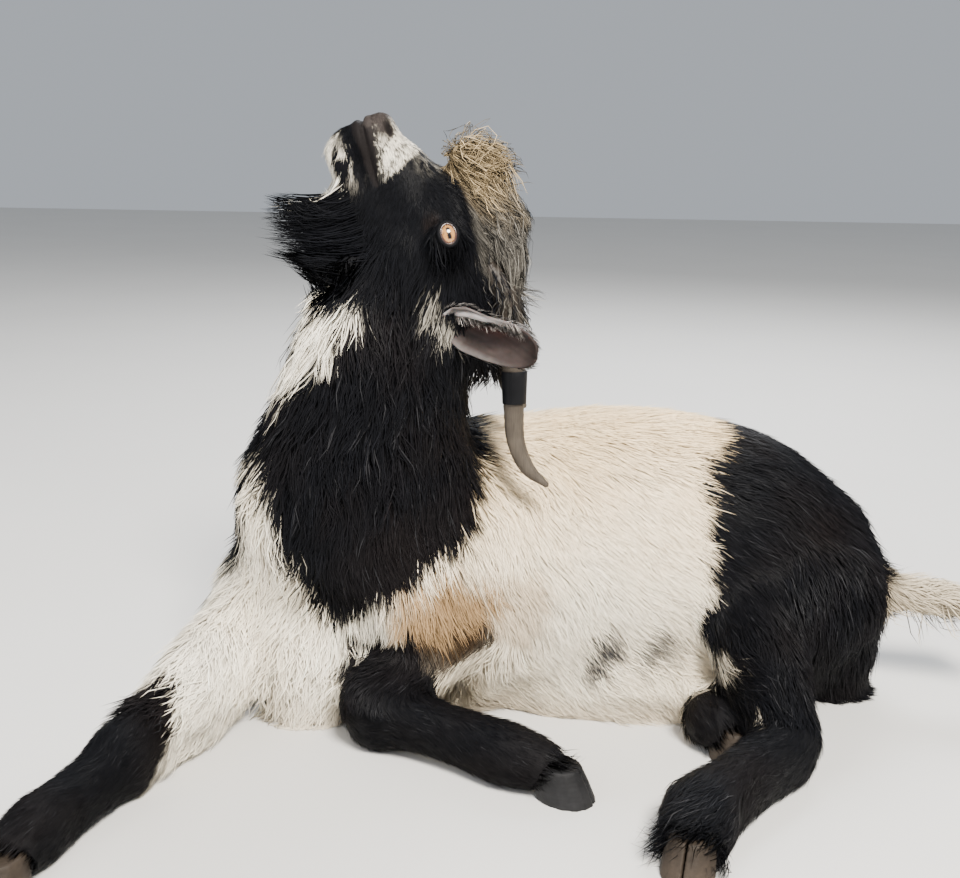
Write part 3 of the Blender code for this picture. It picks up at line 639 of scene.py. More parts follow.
class Skin:
    """One skin for head, neck, trunk, legs and tail. Its methods take and give landmark-frame points."""

    VOXEL = 0.0042
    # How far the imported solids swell, so that neighbours overlap before they are fused.
    SWELL = 0.0006
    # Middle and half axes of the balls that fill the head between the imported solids.
    FILLERS = (((0.145, 0.003), (0.068, 0.042, 0.042)), ((0.108, 0.008), (0.034, 0.041, 0.039)),
               ((0.09, -0.03), (0.06, 0.026, 0.03)))
    SOCKET = 0.0176
    GROUND_GAP = 0.0006
    # Painted shade: how much darker the felt is than the hair above it, for the shadow the hair casts on
    # the skin.
    SHADE = 0.8

    def __init__(self, nodes: dict[str, Obj], coat: CoatMap, markings: Markings) -> None:
        """Builds the skin.

        Args:
            nodes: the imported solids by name.
            coat: the depth of the hair.
            markings: its colours.
        """
        self.coat = coat
        self.markings = markings
        self.obj = self._fused(nodes)
        self._sink_under_coat()
        self._refine_head()
        self._unwrap()
        # The felt takes the coat's colours, darkened by SHADE as painted shade under the hair.
        paint(self.obj.data, self.markings.colours(self.arrays()[0]) * self.SHADE)
        self.obj.data.shade_smooth()
        dress(self.obj, FELT, FLESH)
        log.info("skin: %d faces", len(self.obj.data.polygons))

    def _fused(self, nodes: dict[str, Obj]) -> Obj:
        """The flesh solids as one even, closed mesh."""
        bm = bmesh.new()
        for name in FLESH:
            part = bmesh.new()
            part.from_mesh(nodes[name].data)
            bmesh.ops.remove_doubles(part, verts=part.verts, dist=1e-5)
            part.normal_update()
            for vert, normal in [(v, v.normal.copy()) for v in part.verts]:
                vert.co += normal * self.SWELL
            piece = bpy.data.meshes.new("piece")
            part.to_mesh(piece)
            part.free()
            bm.from_mesh(piece)
            bpy.data.meshes.remove(piece)
        turn = Matrix([HEAD_BACK, HEAD_LEFT, HEAD_CROWN]).transposed().to_4x4()
        balls = [(Vector(head_point(*place) + HOME), turn @ Matrix.Diagonal((*size, 1)), 1)
                 for place, size in self.FILLERS]
        balls += [(Vector(EyeShape(side).centre + HOME), Matrix.Identity(4), self.SOCKET) for side in Side]
        for place, shape, radius in balls:
            matrix = Matrix.Translation(place) @ shape
            bmesh.ops.create_uvsphere(bm, u_segments=32, v_segments=20, radius=radius, matrix=matrix)
        mesh = bpy.data.meshes.new("skin")
        bm.to_mesh(mesh)
        bm.free()
        obj = linked("skin", mesh)
        apply(obj, "REMESH", mode="VOXEL", voxel_size=self.VOXEL)
        apply(obj, "SMOOTH", factor=0.5, iterations=5)
        keep_largest(obj)
        return obj

    def arrays(self) -> tuple[Array, Array]:
        """Points and vertex normals of the skin, in the landmark frame."""
        mesh = self.obj.data
        points = np.empty(len(mesh.vertices) * 3)
        normals = np.empty(len(mesh.vertices) * 3)
        mesh.vertices.foreach_get("co", points)
        mesh.vertex_normals.foreach_get("vector", normals)
        return points.reshape(-1, 3) - HOME, normals.reshape(-1, 3)

    def _set_points(self, points: Array) -> None:
        """Writes landmark-frame points back."""
        move_points(self.obj, points + HOME)
        self.obj.data.update()

    def _sink_under_coat(self, steps: int = 3) -> None:
        """Moves the skin inwards by the depth of the coat, less where the body's weight presses it flat."""
        for _ in range(steps):
            points, normals = self.arrays()
            depth = self.coat.read(points)[0][:, 0]
            pressed = ramp(points[:, 2], 0.03, 0.004) * ramp(-normals[:, 2], 0.0, 0.7)
            step = depth / steps * (1 - pressed)
            self._set_points(points - normals * step[:, None])
            apply(self.obj, "SMOOTH", factor=0.4, iterations=1)
        points, _ = self.arrays()
        points[:, 2] = np.maximum(points[:, 2], self.GROUND_GAP)
        self._set_points(points)

    def _refine_head(self) -> None:
        """Gives the head finer faces, then its lids, nostrils and mouth."""
        eyes = [EyeShape(side) for side in Side]
        throat = head_point(0.15, -0.07)[2]
        self._subdivide(lambda edge: min(v.co.z for v in edge.verts) > throat)
        spots = [(Vector(eye.centre + HOME), 0.022) for eye in eyes]
        spots += [(Vector(head_point(0.012, -0.004, side * 0.012) + HOME), 0.016) for side in Side]
        self._subdivide(lambda edge: any((edge.verts[0].co - spot).length < reach for spot, reach in spots))
        points, _ = self.arrays()
        for eye in eyes:
            points = self._lids(points, eye)
        self._set_points(self._nose_and_mouth(points))

    def _subdivide(self, wanted: Callable[[bmesh.types.BMEdge], bool]) -> None:
        """Halves the edges that wanted picks."""
        bm = bmesh.new()
        bm.from_mesh(self.obj.data)
        edges = [edge for edge in bm.edges if wanted(edge)]
        bmesh.ops.subdivide_edges(bm, edges=edges, cuts=1, use_grid_fill=True, smooth=0.4)
        bmesh.ops.triangulate(bm, faces=[face for face in bm.faces if len(face.verts) > 4])
        bm.to_mesh(self.obj.data)
        bm.free()

    @staticmethod
    def _lids(points: Array, eye: EyeShape) -> Array:
        """Wraps lids round one eyeball and sinks the socket behind it."""
        dist, tilt, turn = eye.polar(points)
        edge = eye.opening(turn)
        lid = eye.radius + 0.0016
        over = ramp(tilt, edge + 0.05, edge - 0.05)
        fold = 0.0011 * np.exp(-((tilt - edge - 0.16) / 0.09) ** 2)
        fold = fold - 0.0012 * np.exp(-((tilt - edge - 0.42) / 0.1) ** 2)
        lifted = ramp(tilt, 1.75, 1.25)
        shaped = np.maximum(dist, lid) * lifted + dist * (1 - lifted)
        near_lid = lid + 0.0005 + np.clip(tilt - edge, 0, 1.2) * 0.0022
        blend = ramp(tilt, edge + 0.75, edge + 0.1)
        close = dist < 0.024
        shaped = shaped + (np.minimum(shaped, near_lid) - shaped) * blend * close + fold * close
        shaped = shaped + (eye.radius * 0.8 - shaped) * over
        use = (tilt < 1.75) & (dist < 0.03)
        ratio = np.where(use, shaped / np.maximum(dist, 1e-9), 1)
        return eye.centre + (points - eye.centre) * ratio[:, None]

    @staticmethod
    def _nose_and_mouth(points: Array) -> Array:
        """Comma-shaped nostrils, the groove between them and the parted line of the lips."""
        back, crown, left = head_coords(points).T
        front = back < MUZZLE_END
        hole = nostril(back, crown, left) * front
        wing = np.exp(-((back - 0.013) / 0.01) ** 2 - ((crown - 0.0105) / 0.0035) ** 2)
        wing = wing * front * (np.abs(left) > 0.004)
        side = np.sign(left)[:, None] * HEAD_LEFT
        points = points - 0.0048 * hole[:, None] * unit(side * 0.75 - HEAD_BACK * 0.65)
        points = points + 0.0012 * wing[:, None] * (side * 0.6 + HEAD_CROWN * 0.6)
        above = crown - mouth_height(back)
        line = np.exp(-(above / 0.0018) ** 2) * ramp(back, 0.05, 0.042)
        inward = -side * ramp(back, -0.006, 0.01)[:, None] + HEAD_BACK * ramp(back, 0.01, -0.006)[:, None]
        inward = unit(inward + 1e-6)
        points = points + 0.0024 * line[:, None] * inward
        fade = ramp(back, 0.048, 0.036)
        upper, lower = (np.exp(-((above - middle) / 0.003) ** 2) * fade for middle in (0.005, -0.005))
        lips = upper + lower
        points = points - 0.001 * lips[:, None] * inward
        groove = np.exp(-(left / 0.0016) ** 2 - ((crown + 0.008) / 0.009) ** 2) * ramp(back, 0.012, 0.002)
        return points + 0.0012 * groove[:, None] * HEAD_BACK

    def _unwrap(self) -> None:
        """Lays the skin's own shape out flat."""
        only(self.obj)
        bpy.ops.object.mode_set(mode="EDIT")
        bpy.ops.mesh.select_all(action="SELECT")
        self.obj.data.uv_layers.new(name="OFBake")
        bpy.ops.uv.smart_project(angle_limit=math.radians(66), island_margin=0.002)
        bpy.ops.object.mode_set(mode="OBJECT")


@dataclass(frozen=True)
class Fleece:
    """One piece of the coat.

    Attributes:
        name: of the piece.
        zones: the stretches of the body it covers.
        slot: a finish label, not used.
        style: the kind of its tufts.
        tufts: how many tufts.
    """

    name: str
    zones: tuple[str, ...]
    slot: str
    style: Style
    tufts: int


FLEECES = (
    Fleece("coat_face", ("muzzle", "chin", "nose", "cheeks", "brow"), "coat_black", Style.SPIKE, 27000),
    Fleece("coat_jaw", ("jaw", "jowl", "poll", "ear_root_left", "ear_root_right"), "coat_black",
           Style.SHORT, 7500),
    Fleece("coat_forelock", ("forelock",), "coat_grey", Style.CURLED, 5300),
    Fleece("coat_neck", ("throat", "nape", "neck_left", "neck_right"), "coat_black", Style.LONG, 9500),
    Fleece("coat_shoulders", ("shoulder_left", "withers"), "coat_black", Style.SHORT, 10500),
    Fleece("coat_shoulder_right", ("shoulder_right",), "coat_black", Style.SHORT, 4000),
    Fleece("coat_breast", ("chest", "forearm_right"), "coat_white", Style.LONG, 5500),
    Fleece("coat_ribs", ("ribs_left", "belly_left"), "coat_white", Style.SHORT, 12500),
    Fleece("coat_barrel_left", ("barrel_left", "fold", "flank"), "coat_white", Style.SHORT, 10500),
    Fleece("coat_barrel_right", ("barrel_right",), "coat_white", Style.SHORT, 5200),
    Fleece("coat_back", ("back",), "coat_white", Style.SHORT, 8500),
    Fleece("coat_rump", ("rump",), "coat_black", Style.SHORT, 7200),
    Fleece("coat_thighs", ("thigh_left", "thigh_right"), "coat_black", Style.SHORT, 8000),
    Fleece("coat_tail", ("tail",), "coat_white", Style.LONG, 1500),
    Fleece("coat_legs_upper",
           ("forearm_left", "gaskin_left", "hind_foot_left", "pastern_left", "pastern_right"),
           "coat_black", Style.SHORT, 6000),
    Fleece("coat_legs_lower", ("cannon_left", "cannon_right", "hind_cannon_left", "hind_cannon_right"),
           "coat_black", Style.SPIKE, 14000),
)


class Coat:
    """Tufts of hair grown out of the skin, joined into a few pieces.

    In the methods, batch is the tufts' roots. The arrays have a row for each tuft: its length, its heading,
    its lift against the coat's depth, the chief of its lock, and its curve as (point, axis).
    """

    # Roots start this far below the skin, and no hair hangs lower than this above the floor.
    ROOT_DEPTH = 0.0006
    FLOOR_GAP = 0.0012
    # A tuft that is drawn out beyond this many times its own length is dropped.
    MOST_DRAWN = 1.6
    # Grey hairs, which also stand for painted sheen streaks on the black coat, grow below this height, off
    # the head.
    GREY_AND_SHEEN_BELOW = 0.4
    SILVER_HAIR = np.array([0.021, 0.021, 0.023])

    def __init__(self, skin: Skin, coat_map: CoatMap, markings: Markings, thickness: float = 1.0) -> None:
        """Reads the skin's faces.

        Args:
            skin: the finished skin.
            coat_map: lengths, widths and the lie of the hair.
            markings: the colours.
            thickness: scales how many tufts there are.
        """
        self.markings = markings
        self.coat_map = coat_map
        self.thickness = thickness
        self.rng = np.random.default_rng(7)
        mesh = skin.obj.data
        mesh.calc_loop_triangles()
        self.points, self.normals = skin.arrays()
        count = len(mesh.loop_triangles)
        corners = np.empty(count * 3, np.int32)
        loops = np.empty(count * 3, np.int32)
        mesh.loop_triangles.foreach_get("vertices", corners)
        mesh.loop_triangles.foreach_get("loops", loops)
        flat = np.empty(len(mesh.loops) * 2)
        mesh.uv_layers["OFBake"].data.foreach_get("uv", flat)
        self.corners = corners.reshape(-1, 3)
        self.uvs = flat.reshape(-1, 2)[loops].reshape(-1, 3, 2)
        self.tree = BVHTree.FromPolygons(self.points.tolist(), self.corners.tolist())

    def _in_fleece(self, zones: Array, fleece: Fleece) -> Array:
        """Whether each zone, by number, belongs to a fleece."""
        names = [zone.name for zone in self.coat_map.zones]
        return np.isin(zones, [names.index(zone) for zone in fleece.zones])

    def roots(self) -> Roots:
        """Scatters the tufts' roots, closer together where the hair is short and fine."""
        spots = self.points[self.corners]
        sides = np.cross(spots[:, 1] - spots[:, 0], spots[:, 2] - spots[:, 0])
        areas = np.linalg.norm(sides, axis=1) / 2
        centres = spots.mean(axis=1)
        facing = sides / np.maximum(areas[:, None] * 2, 1e-12)
        weights = self.coat_map.weights(centres)
        values = weights @ self.coat_map.values
        share = areas * self._bare(centres) / (values[:, 1] * values[:, 2])
        share = share * (1 - 0.95 * ramp(-facing[:, 2], 0.6, 0.95) * ramp(centres[:, 2], 0.01, 0.004))
        zone = weights.argmax(axis=1)
        expected = np.zeros(len(share))
        for fleece in FLEECES:
            here = self._in_fleece(zone, fleece)
            expected[here] = share[here] / max(share[here].sum(), 1e-9) * fleece.tufts * self.thickness
        each = self.rng.poisson(expected)
        face = np.repeat(np.arange(len(each)), each)
        a, b = self.rng.random((2, len(face)))
        flip = a + b > 1
        a, b = np.where(flip, 1 - a, a), np.where(flip, 1 - b, b)
        shares = np.stack([1 - a - b, a, b], axis=1)[:, :, None]
        points = (spots[face] * shares).sum(axis=1)
        normals = unit((self.normals[self.corners[face]] * shares).sum(axis=1))
        uvs = (self.uvs[face] * shares).sum(axis=1)
        weights = self.coat_map.weights(points)
        flows = unit(weights @ self.coat_map.flows)
        return Roots(points, normals, uvs, zone[face], weights @ self.coat_map.values, flows)

    @staticmethod
    def _bare(points: Array) -> Array:
        """0 on eyes, lips and nostrils, 1 where hair grows."""
        out = np.ones(len(points))
        for eye in (EyeShape(side) for side in Side):
            dist, tilt, turn = eye.polar(points)
            shut = ramp(tilt, eye.opening(turn) + 0.16, eye.opening(turn) + 0.34)
            out = out * np.where(dist < 0.022, shut, 1)
        back, crown, left = head_coords(points).T
        front = (back < 0.055) & (points[:, 2] > MUZZLE_LOW)
        lips = ramp(np.abs(crown - mouth_height(back)) - lip_width(back), -0.0008, 0.0012)
        lips = np.where(back < 0.048, lips, 1)
        bare = ramp(nostril(back, crown, left), 0.45, 0.15)
        return out * np.where(front, lips * bare, 1)

    def grow(self, roots: Roots) -> None:
        """Makes every piece of the coat from the roots."""
        for fleece in FLEECES:
            batch = roots.pick(self._in_fleece(roots.zones, fleece))
            curves, widths = self._curves(batch, fleece.style)
            keep = self._well_laid(batch, curves, fleece.style is Style.CURLED)
            batch, curves, widths = batch.pick(keep), curves[keep], widths[keep]
            piece = tuft_mesh(fleece.name, curves, widths, batch, self._tints(batch), self.rng)
            dress(piece, HAIR)
            log.info("%s: %d tufts, %d triangles", fleece.name, len(batch.points), len(piece.data.polygons))

    def _well_laid(self, batch: Roots, curves: Array, curled: bool) -> Array:
        """Which tufts to keep: curls on the mop, and hair that follows its flow and isn't drawn out."""
        if curled:
            return self.markings.forelock_share(batch.points) > ON_MOP
        along = (unit(curves[:, -1] - curves[:, 0]) * batch.flows).sum(axis=1)
        drawn = np.linalg.norm(np.diff(curves, axis=1), axis=2).sum(axis=1)
        follows = (along > -0.1) | (batch.points[:, 2] < 0.37)
        return follows & (drawn < self.MOST_DRAWN * batch.values[:, 1])

    def _tints(self, batch: Roots) -> Array:
        """Each tuft's colour, a little lighter or darker than the markings."""
        rng, count, points = self.rng, len(batch.points), batch.points
        mop = self.markings.forelock_share(points) > ON_MOP
        at = np.where(mop, 0, np.clip(rng.normal(0.66, 0.15, count), 0, 1))
        places = points + batch.flows * (at * batch.values[:, 1])[:, None]
        tint = self.markings.colours(places)
        by_beard = (points[:, 2] > 0.402) & (points[:, 0] < -0.1) & (points[:, 2] < 0.47)
        tint = np.where(by_beard[:, None], np.minimum(tint, self.markings.colours(points)), tint)
        strand = np.exp(rng.normal(0, 0.5, count)) * np.where(rng.random(count) < 0.22, 0.2, 1.0)
        strand = strand * np.exp(0.55 * wander(points, 0.006, 61))
        tint = np.where(mop[:, None], tint * strand[:, None], tint)
        back, crown, _ = head_coords(places).T
        dark_share = 0.2 + 0.4 * by_lips(back, crown, 0.01) + 0.25 * wander(places, 0.008, 62)
        peppered = (rng.random(count) < dark_share) & (back < MUZZLE_END) & (places[:, 2] > MUZZLE_LOW)
        tint = np.where((peppered & (tint.max(axis=1) > 0.2))[:, None], tint * 0.04, tint)
        pale = ramp(tint.max(axis=1), 0.1, 0.4)
        tint = tint * np.exp(rng.normal(0, 1, count) * (0.25 - 0.18 * pale))[:, None]
        dark = (tint.max(axis=1) < 0.05) & (points[:, 2] <= self.GREY_AND_SHEEN_BELOW)
        # Some dark tufts turn grey: partly real grey hairs, partly painted sheen streaks.
        silver = dark & (rng.random(count) < 0.035)
        return np.where(silver[:, None], self.SILVER_HAIR, tint)

    def _curves(self, batch: Roots, style: Style) -> tuple[Array, Array]:
        """The tufts' centre lines, hugging the body and gathered into locks.

        Args:
            batch: where the tufts start.
            style: their kind.

        Returns:
            The lines, as (tuft, point, axis), and the tufts' widths.
        """
        curled = style is Style.CURLED
        habit = CURLY if curled else STRAIGHT
        length = batch.values[:, 1] * self.rng.uniform(0.72, 1.18, len(batch.points))
        length = length * (1 - 0.52 * ramp(batch.points[:, 0], 0.445, 0.5))
        chief = self.chiefs(batch, habit.leaders)
        heading = self._headings(batch, length, chief, habit)
        length, lift = self._lengths_and_lifts(batch, length, habit)
        curves = self._hugging(batch, heading, length, lift, style)
        if curled:
            share = np.arange(style.value + 1) / style.value
            rise = 0.013 * ramp(batch.points[:, 2], 0.488, 0.515)
            rise = rise * self.rng.uniform(0.45, 1.0, len(rise))[chief]
            curves[:, :, 2] += rise[:, None] * np.sin(0.62 * math.pi * share)
            curves[:, :, 0] -= 0.35 * rise[:, None] * share
        curves = self.gather(batch, curves, chief, habit.hold)
        self._wave(batch, curves, length, chief, habit)
        curves[:, :, 2] = np.maximum(curves[:, :, 2], self.FLOOR_GAP)
        return curves, batch.values[:, 2] * self.rng.uniform(0.75, 1.25, len(batch.points))

    def _headings(self, batch: Roots, length: Array, chief: Array, habit: Habit) -> Array:
        """The way each tuft starts, turned aside from the flow alone, with its lock and with its region."""
        points, count = batch.points, len(batch.points)
        mate = self.rng.normal(0, habit.sway, count)[chief]
        if habit is CURLY:
            mate = mate + 0.35 * wander(points, 0.026, 25)
        turn = 0.3 * wander(points, 0.055, 21) + 0.2 * wander(points, 0.02, 22)
        turn = turn * (1 + 0.7 * ramp(length, 0.032, 0.045))
        fan = ramp(points[:, 0], 0.395, 0.42) * 0.46
        turn = turn + self.rng.normal(0, 1, count) * (0.12 + fan) + mate
        across = np.cross(batch.normals, batch.flows)
        return unit(batch.flows + across * np.tan(np.clip(turn, -1, 1))[:, None])

    def _lengths_and_lifts(self, batch: Roots, length: Array, habit: Habit) -> tuple[Array, Array]:
        """How long each tuft is, strays included, and how high it stands against the coat's depth."""
        x, _, z = batch.points.T
        lift = np.clip(self.rng.normal(0.72, 0.2, len(x)), 0.25, 1.12)
        lift = lift * (0.86 + 0.16 * wander(batch.points, 0.03, 23)) * habit.loft
        if habit is CURLY:
            lift = lift * (1 + 0.7 * ramp(z, 0.495, 0.515))
        rump_end = ramp(x, 0.325, 0.365) * (x < 0.395) * (z > 0.1)
        lift = lift * (1 + 0.6 * rump_end)
        stray = (self.rng.random(len(x)) < habit.strays) & (length > 0.024)
        return np.where(stray, length * 1.2, length), np.where(stray, lift * 1.6, lift)

    def _hugging(self, batch: Roots, heading: Array, length: Array, lift: Array,
                 style: Style) -> Array:
        """Centre lines that follow the skin, or run on into the air where it falls away on mop and tail."""
        curled, bends = style is Style.CURLED, style.value
        power = (CURLY if curled else STRAIGHT).rise
        x, _, z = batch.points.T
        free = ramp(z, 0.495, 0.51) if curled else np.where(x < 0.38, 1.0, ramp(x, 0.402, 0.416))
        height = batch.values[:, 0] * lift
        curves = np.empty((len(x), bends + 1, 3))
        curves[:, 0] = batch.points - batch.normals * self.ROOT_DEPTH
        normal, here = batch.normals, batch.points
        for k in range(1, bends + 1):
            flat = unit(heading - normal * (heading * normal).sum(axis=1, keepdims=True))
            target = here + flat * (length / bends)[:, None]
            surface, normal = self._nearest(target, normal)
            high = normal * (height * (k / bends) ** power + 0.0003 * k)[:, None]
            gap = np.linalg.norm(surface - target, axis=1) - height
            past = ramp(gap, 0.0025, 0.005)[:, None] * free[:, None]
            hugging = surface * (1 - past) + target * past + high * (1 - past)
            off = (ramp((heading * normal).sum(axis=1), 0.7, 0.92) * free)[:, None]
            here = hugging + (here + heading * (length / bends)[:, None] - hugging) * off
            curves[:, k] = here
        return curves

    def _wave(self, batch: Roots, curves: Array, length: Array, chief: Array, habit: Habit) -> None:
        """Waves the lines from side to side, and curls round too."""
        count, bends = len(batch.points), curves.shape[1] - 1
        across = unit(np.cross(batch.normals, batch.flows))
        phase = self.rng.uniform(0, 2 * math.pi, count)
        if habit is CURLY:
            phase = 3.6 * wander(batch.points, 0.032, 24) + 0.25 * phase[chief]
            phase = phase + self.rng.normal(0, 0.25, count)
        for k in range(1, bends + 1):
            angle = (phase + habit.turns * k)[:, None]
            reach = (batch.values[:, 3] * length * min(1.0, 1.6 * k / bends))[:, None]
            curves[:, k] += across * reach * np.sin(angle)
            if habit is CURLY:
                curves[:, k] += batch.normals * reach * np.cos(angle)

    def _nearest(self, targets: Array, normals: Array) -> tuple[Array, Array]:
        """The closest place on the skin.

        Args:
            targets: landmark-frame places.
            normals: the normals that held one step before.

        Returns:
            The closest places, and normals between the skin's there and the ones before.
        """
        surface = np.empty_like(targets)
        facing = np.empty_like(targets)
        for index, place in enumerate(targets.tolist()):
            spot, normal, _, _ = self.tree.find_nearest(place)
            surface[index] = spot
            facing[index] = normal
        return surface, unit(facing * 0.6 + normals * 0.4)

    def chiefs(self, batch: Roots, share: float) -> Array:
        """Chooses the tufts that lead the locks.

        Args:
            batch: the tufts' roots.
            share: how many of the tufts lead.

        Returns:
            For each tuft, the number of the leader nearest to it.
        """
        count = len(batch.points)
        chief = np.flatnonzero(self.rng.random(count) < share)
        if len(chief) < 4:
            return np.arange(count)
        tree = KDTree(len(chief))
        for slot, index in enumerate(chief):
            tree.insert(batch.points[index], slot)
        tree.balance()
        return chief[[tree.find(place)[1] for place in batch.points.tolist()]]

    def gather(self, batch: Roots, curves: Array, lead: Array, hold: float | None = None) -> Array:
        """Draws neighbouring tufts together towards their tips, as locks.

        Args:
            batch: the tufts' roots.
            curves: their centre lines.
            lead: the leader of each tuft's lock.
            hold: how tight the locks are, or None to take it from the hair's length.

        Returns:
            The moved lines.
        """
        count, points = curves.shape[:2]
        offset = batch.points - batch.points[lead]
        if hold is None:
            tight = 0.22 + 0.55 * ramp(batch.values[:, 1], 0.03, 0.044)
        else:
            tight = np.full(count, hold)
        tight = (tight * self.rng.uniform(0.4, 1.1, count))[:, None]
        for k in range(1, points):
            pull = np.minimum(tight * (k / (points - 1)) ** 1.4, 0.95)
            goal = curves[lead, k] + offset * 0.3
            curves[:, k] += (goal - curves[:, k]) * pull
        return curves


# Shares of the way along a tuft, and how wide it is there.
TUFT_PROFILE = ((0, 0.25, 0.6, 1), (0.75, 1.0, 0.85, 0.2))
# How far a tuft's shading follows the skin rather than its own sides, and how much more where it is pale.
SOFTNESS = 0.9
PALE_SOFTNESS = 1.6
# Half the size of a tuft's patch on the unwrap.
PATCH = 0.0013


def tuft_mesh(name: str, curves: Array, widths: Array, batch: Roots, tints: Array,
              rng: np.random.Generator) -> Obj:
    """Joins one closed, tapered, three-sided tuft for each curve into a piece.

    Args:
        name: of the piece.
        curves: centre lines as (tuft, point, axis), in the landmark frame.
        widths: greatest width of each tuft.
        batch: the roots, for their unwrap and normals.
        tints: colour of each tuft.
        rng: source of the small differences.

    Returns:
        The piece.
    """
    count, rings = len(curves), curves.shape[1] - 1
    verts, normals = tuft_points(curves, widths, batch.normals, rng.normal(0, 0.5, count))
    soft = SOFTNESS + PALE_SOFTNESS * ramp(tints.max(axis=1), 0.2, 0.6)
    normals = unit(unit(normals) + batch.normals[:, None] * soft[:, None, None])
    faces = [(0, 1, 2)]
    for k in range(rings - 1):
        for i in range(3):
            a, b = k * 3 + i, k * 3 + (i + 1) % 3
            faces += [(b, a, b + 3), (b + 3, a, a + 3)]
    last = (rings - 1) * 3
    faces += [(last + (i + 1) % 3, last + i, rings * 3) for i in range(3)]
    each = verts.shape[1]
    table = (np.array(faces)[None] + (np.arange(count) * each)[:, None, None]).reshape(-1, 3)
    mesh = bpy.data.meshes.new(name)
    mesh.vertices.add(count * each)
    mesh.vertices.foreach_set("co", (verts + HOME).ravel())
    mesh.loops.add(table.size)
    mesh.loops.foreach_set("vertex_index", table.ravel().astype(np.int32))
    mesh.polygons.add(len(table))
    mesh.polygons.foreach_set("loop_start", np.arange(0, table.size, 3, dtype=np.int32))
    mesh.polygons.foreach_set("use_smooth", np.ones(len(table), bool))
    mesh.update(calc_edges=True)
    spread = np.zeros((each, 2))
    for k in range(rings):
        spread[k * 3:k * 3 + 3, 0] = (-PATCH, PATCH, 0.0)
        spread[k * 3:k * 3 + 3, 1] = -PATCH + 2 * PATCH * k / rings
    spread[-1] = (0.0, PATCH)
    uvs = (batch.uvs[:, None] + spread[None]).reshape(-1, 2)
    layer = mesh.uv_layers.new(name="OFBake")
    layer.data.foreach_set("uv", uvs[table.ravel()].ravel())
    share = np.repeat(np.append(np.arange(rings) / rings, 1), (3,) * rings + (1,))
    # Painted shade: each tuft is darker towards its root, where the hair above shades it, and a little
    # lighter at its tip.
    tone = np.interp(share, (0, 0.5, 1), (0.8, 1.0, 1.05))
    paint(mesh, (tints[:, None] * tone[None, :, None]).reshape(-1, 3))
    mesh.normals_split_custom_set_from_vertices(normals.reshape(-1, 3))
    return linked(name, mesh)


def tuft_points(curves: Array, widths: Array, up: Array, roll: Array) -> tuple[Array, Array]:
    """Three points round each station of each tuft but the last, which is its tip.

    Args:
        curves: centre lines as (tuft, point, axis).
        widths: greatest width of each tuft.
        up: the skin's normal at each root.
        roll: how far each tuft is turned round its line.

    Returns:
        The points and the tufts' own normals there.
    """
    count, stations = curves.shape[:2]
    rings = stations - 1
    along = unit(np.diff(curves, axis=1))
    profile = np.interp(np.arange(rings) / rings, *TUFT_PROFILE) if rings > 1 else np.ones(1)
    verts = np.empty((count, rings * 3 + 1, 3))
    normals = np.empty_like(verts)
    for k in range(rings):
        way = along[:, k] if k == 0 else unit(along[:, k] + along[:, k - 1])
        side = unit(np.cross(way, up))
        broad = side * np.cos(roll)[:, None] + np.cross(side, way) * np.sin(roll)[:, None]
        high = np.cross(broad, way)
        half = (widths * profile[k] / 2)[:, None]
        verts[:, k * 3] = curves[:, k] - broad * half - high * half * 0.25
        verts[:, k * 3 + 1] = curves[:, k] + broad * half - high * half * 0.25
        verts[:, k * 3 + 2] = curves[:, k] + high * half * 0.62
        normals[:, k * 3] = -broad - high * 0.4
        normals[:, k * 3 + 1] = broad - high * 0.4
        normals[:, k * 3 + 2] = high
    verts[:, -1] = curves[:, -1]
    normals[:, -1] = high
    return verts, normals


def dress(piece: Obj, finish: "Finish", replaced: tuple[str, ...] = ()) -> None:
    """Fixes a piece to the body and gives it its finish.

    Args:
        piece: the piece.
        finish: its looks.
        replaced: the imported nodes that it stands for.
    """
    if replaced:
        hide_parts(*replaced)
    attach(piece, "root")
    piece.data.materials.clear()
    piece.data.materials.append(finish.material())


def paint(mesh: bpy.types.Mesh, colours: Array) -> None:
    """Stores a colour for each point as the attribute that the coat's finish reads."""
    values = np.ones((len(mesh.vertices), 4), np.float32)
    values[:, :3] = np.clip(colours, 0, 1)
    layer = mesh.color_attributes.new("Tint", "FLOAT_COLOR", "POINT")
    layer.data.foreach_set("color", values.ravel())


def apply(obj: Obj, kind: str, **settings: object) -> None:
    """Adds one modifier and takes its result as the mesh."""
    modifier = obj.modifiers.new(kind.lower(), kind)
    for key, value in settings.items():
        setattr(modifier, key, value)
    graph = bpy.context.evaluated_depsgraph_get()
    mesh = bpy.data.meshes.new_from_object(obj.evaluated_get(graph))
    obj.modifiers.clear()
    obj.data = mesh


def linked(name: str, data: bpy.types.ID) -> Obj:
    """A new object of the scene that shows some data."""
    obj = bpy.data.objects.new(name, data)
    bpy.context.scene.collection.objects.link(obj)
    return obj


def shaped(name: str, add: Callable[..., set[str]], **settings: object) -> Obj:
    """One of Blender's own shapes, under a name."""
    bpy.ops.object.select_all(action="DESELECT")
    add(**settings)
    obj = bpy.context.object
    obj.name = obj.data.name = name
    return obj


def points_of(obj: Obj) -> Array:
    """The places of an object's points."""
    return np.array([v.co for v in obj.data.vertices])


def move_points(obj: Obj, places: Array) -> None:
    """Gives an object's points new places."""
    obj.data.vertices.foreach_set("co", places.ravel())


def only(obj: Obj) -> None:
    """Selects this object alone and makes it active."""
    bpy.ops.object.select_all(action="DESELECT")
    obj.select_set(True)
    bpy.context.view_layer.objects.active = obj


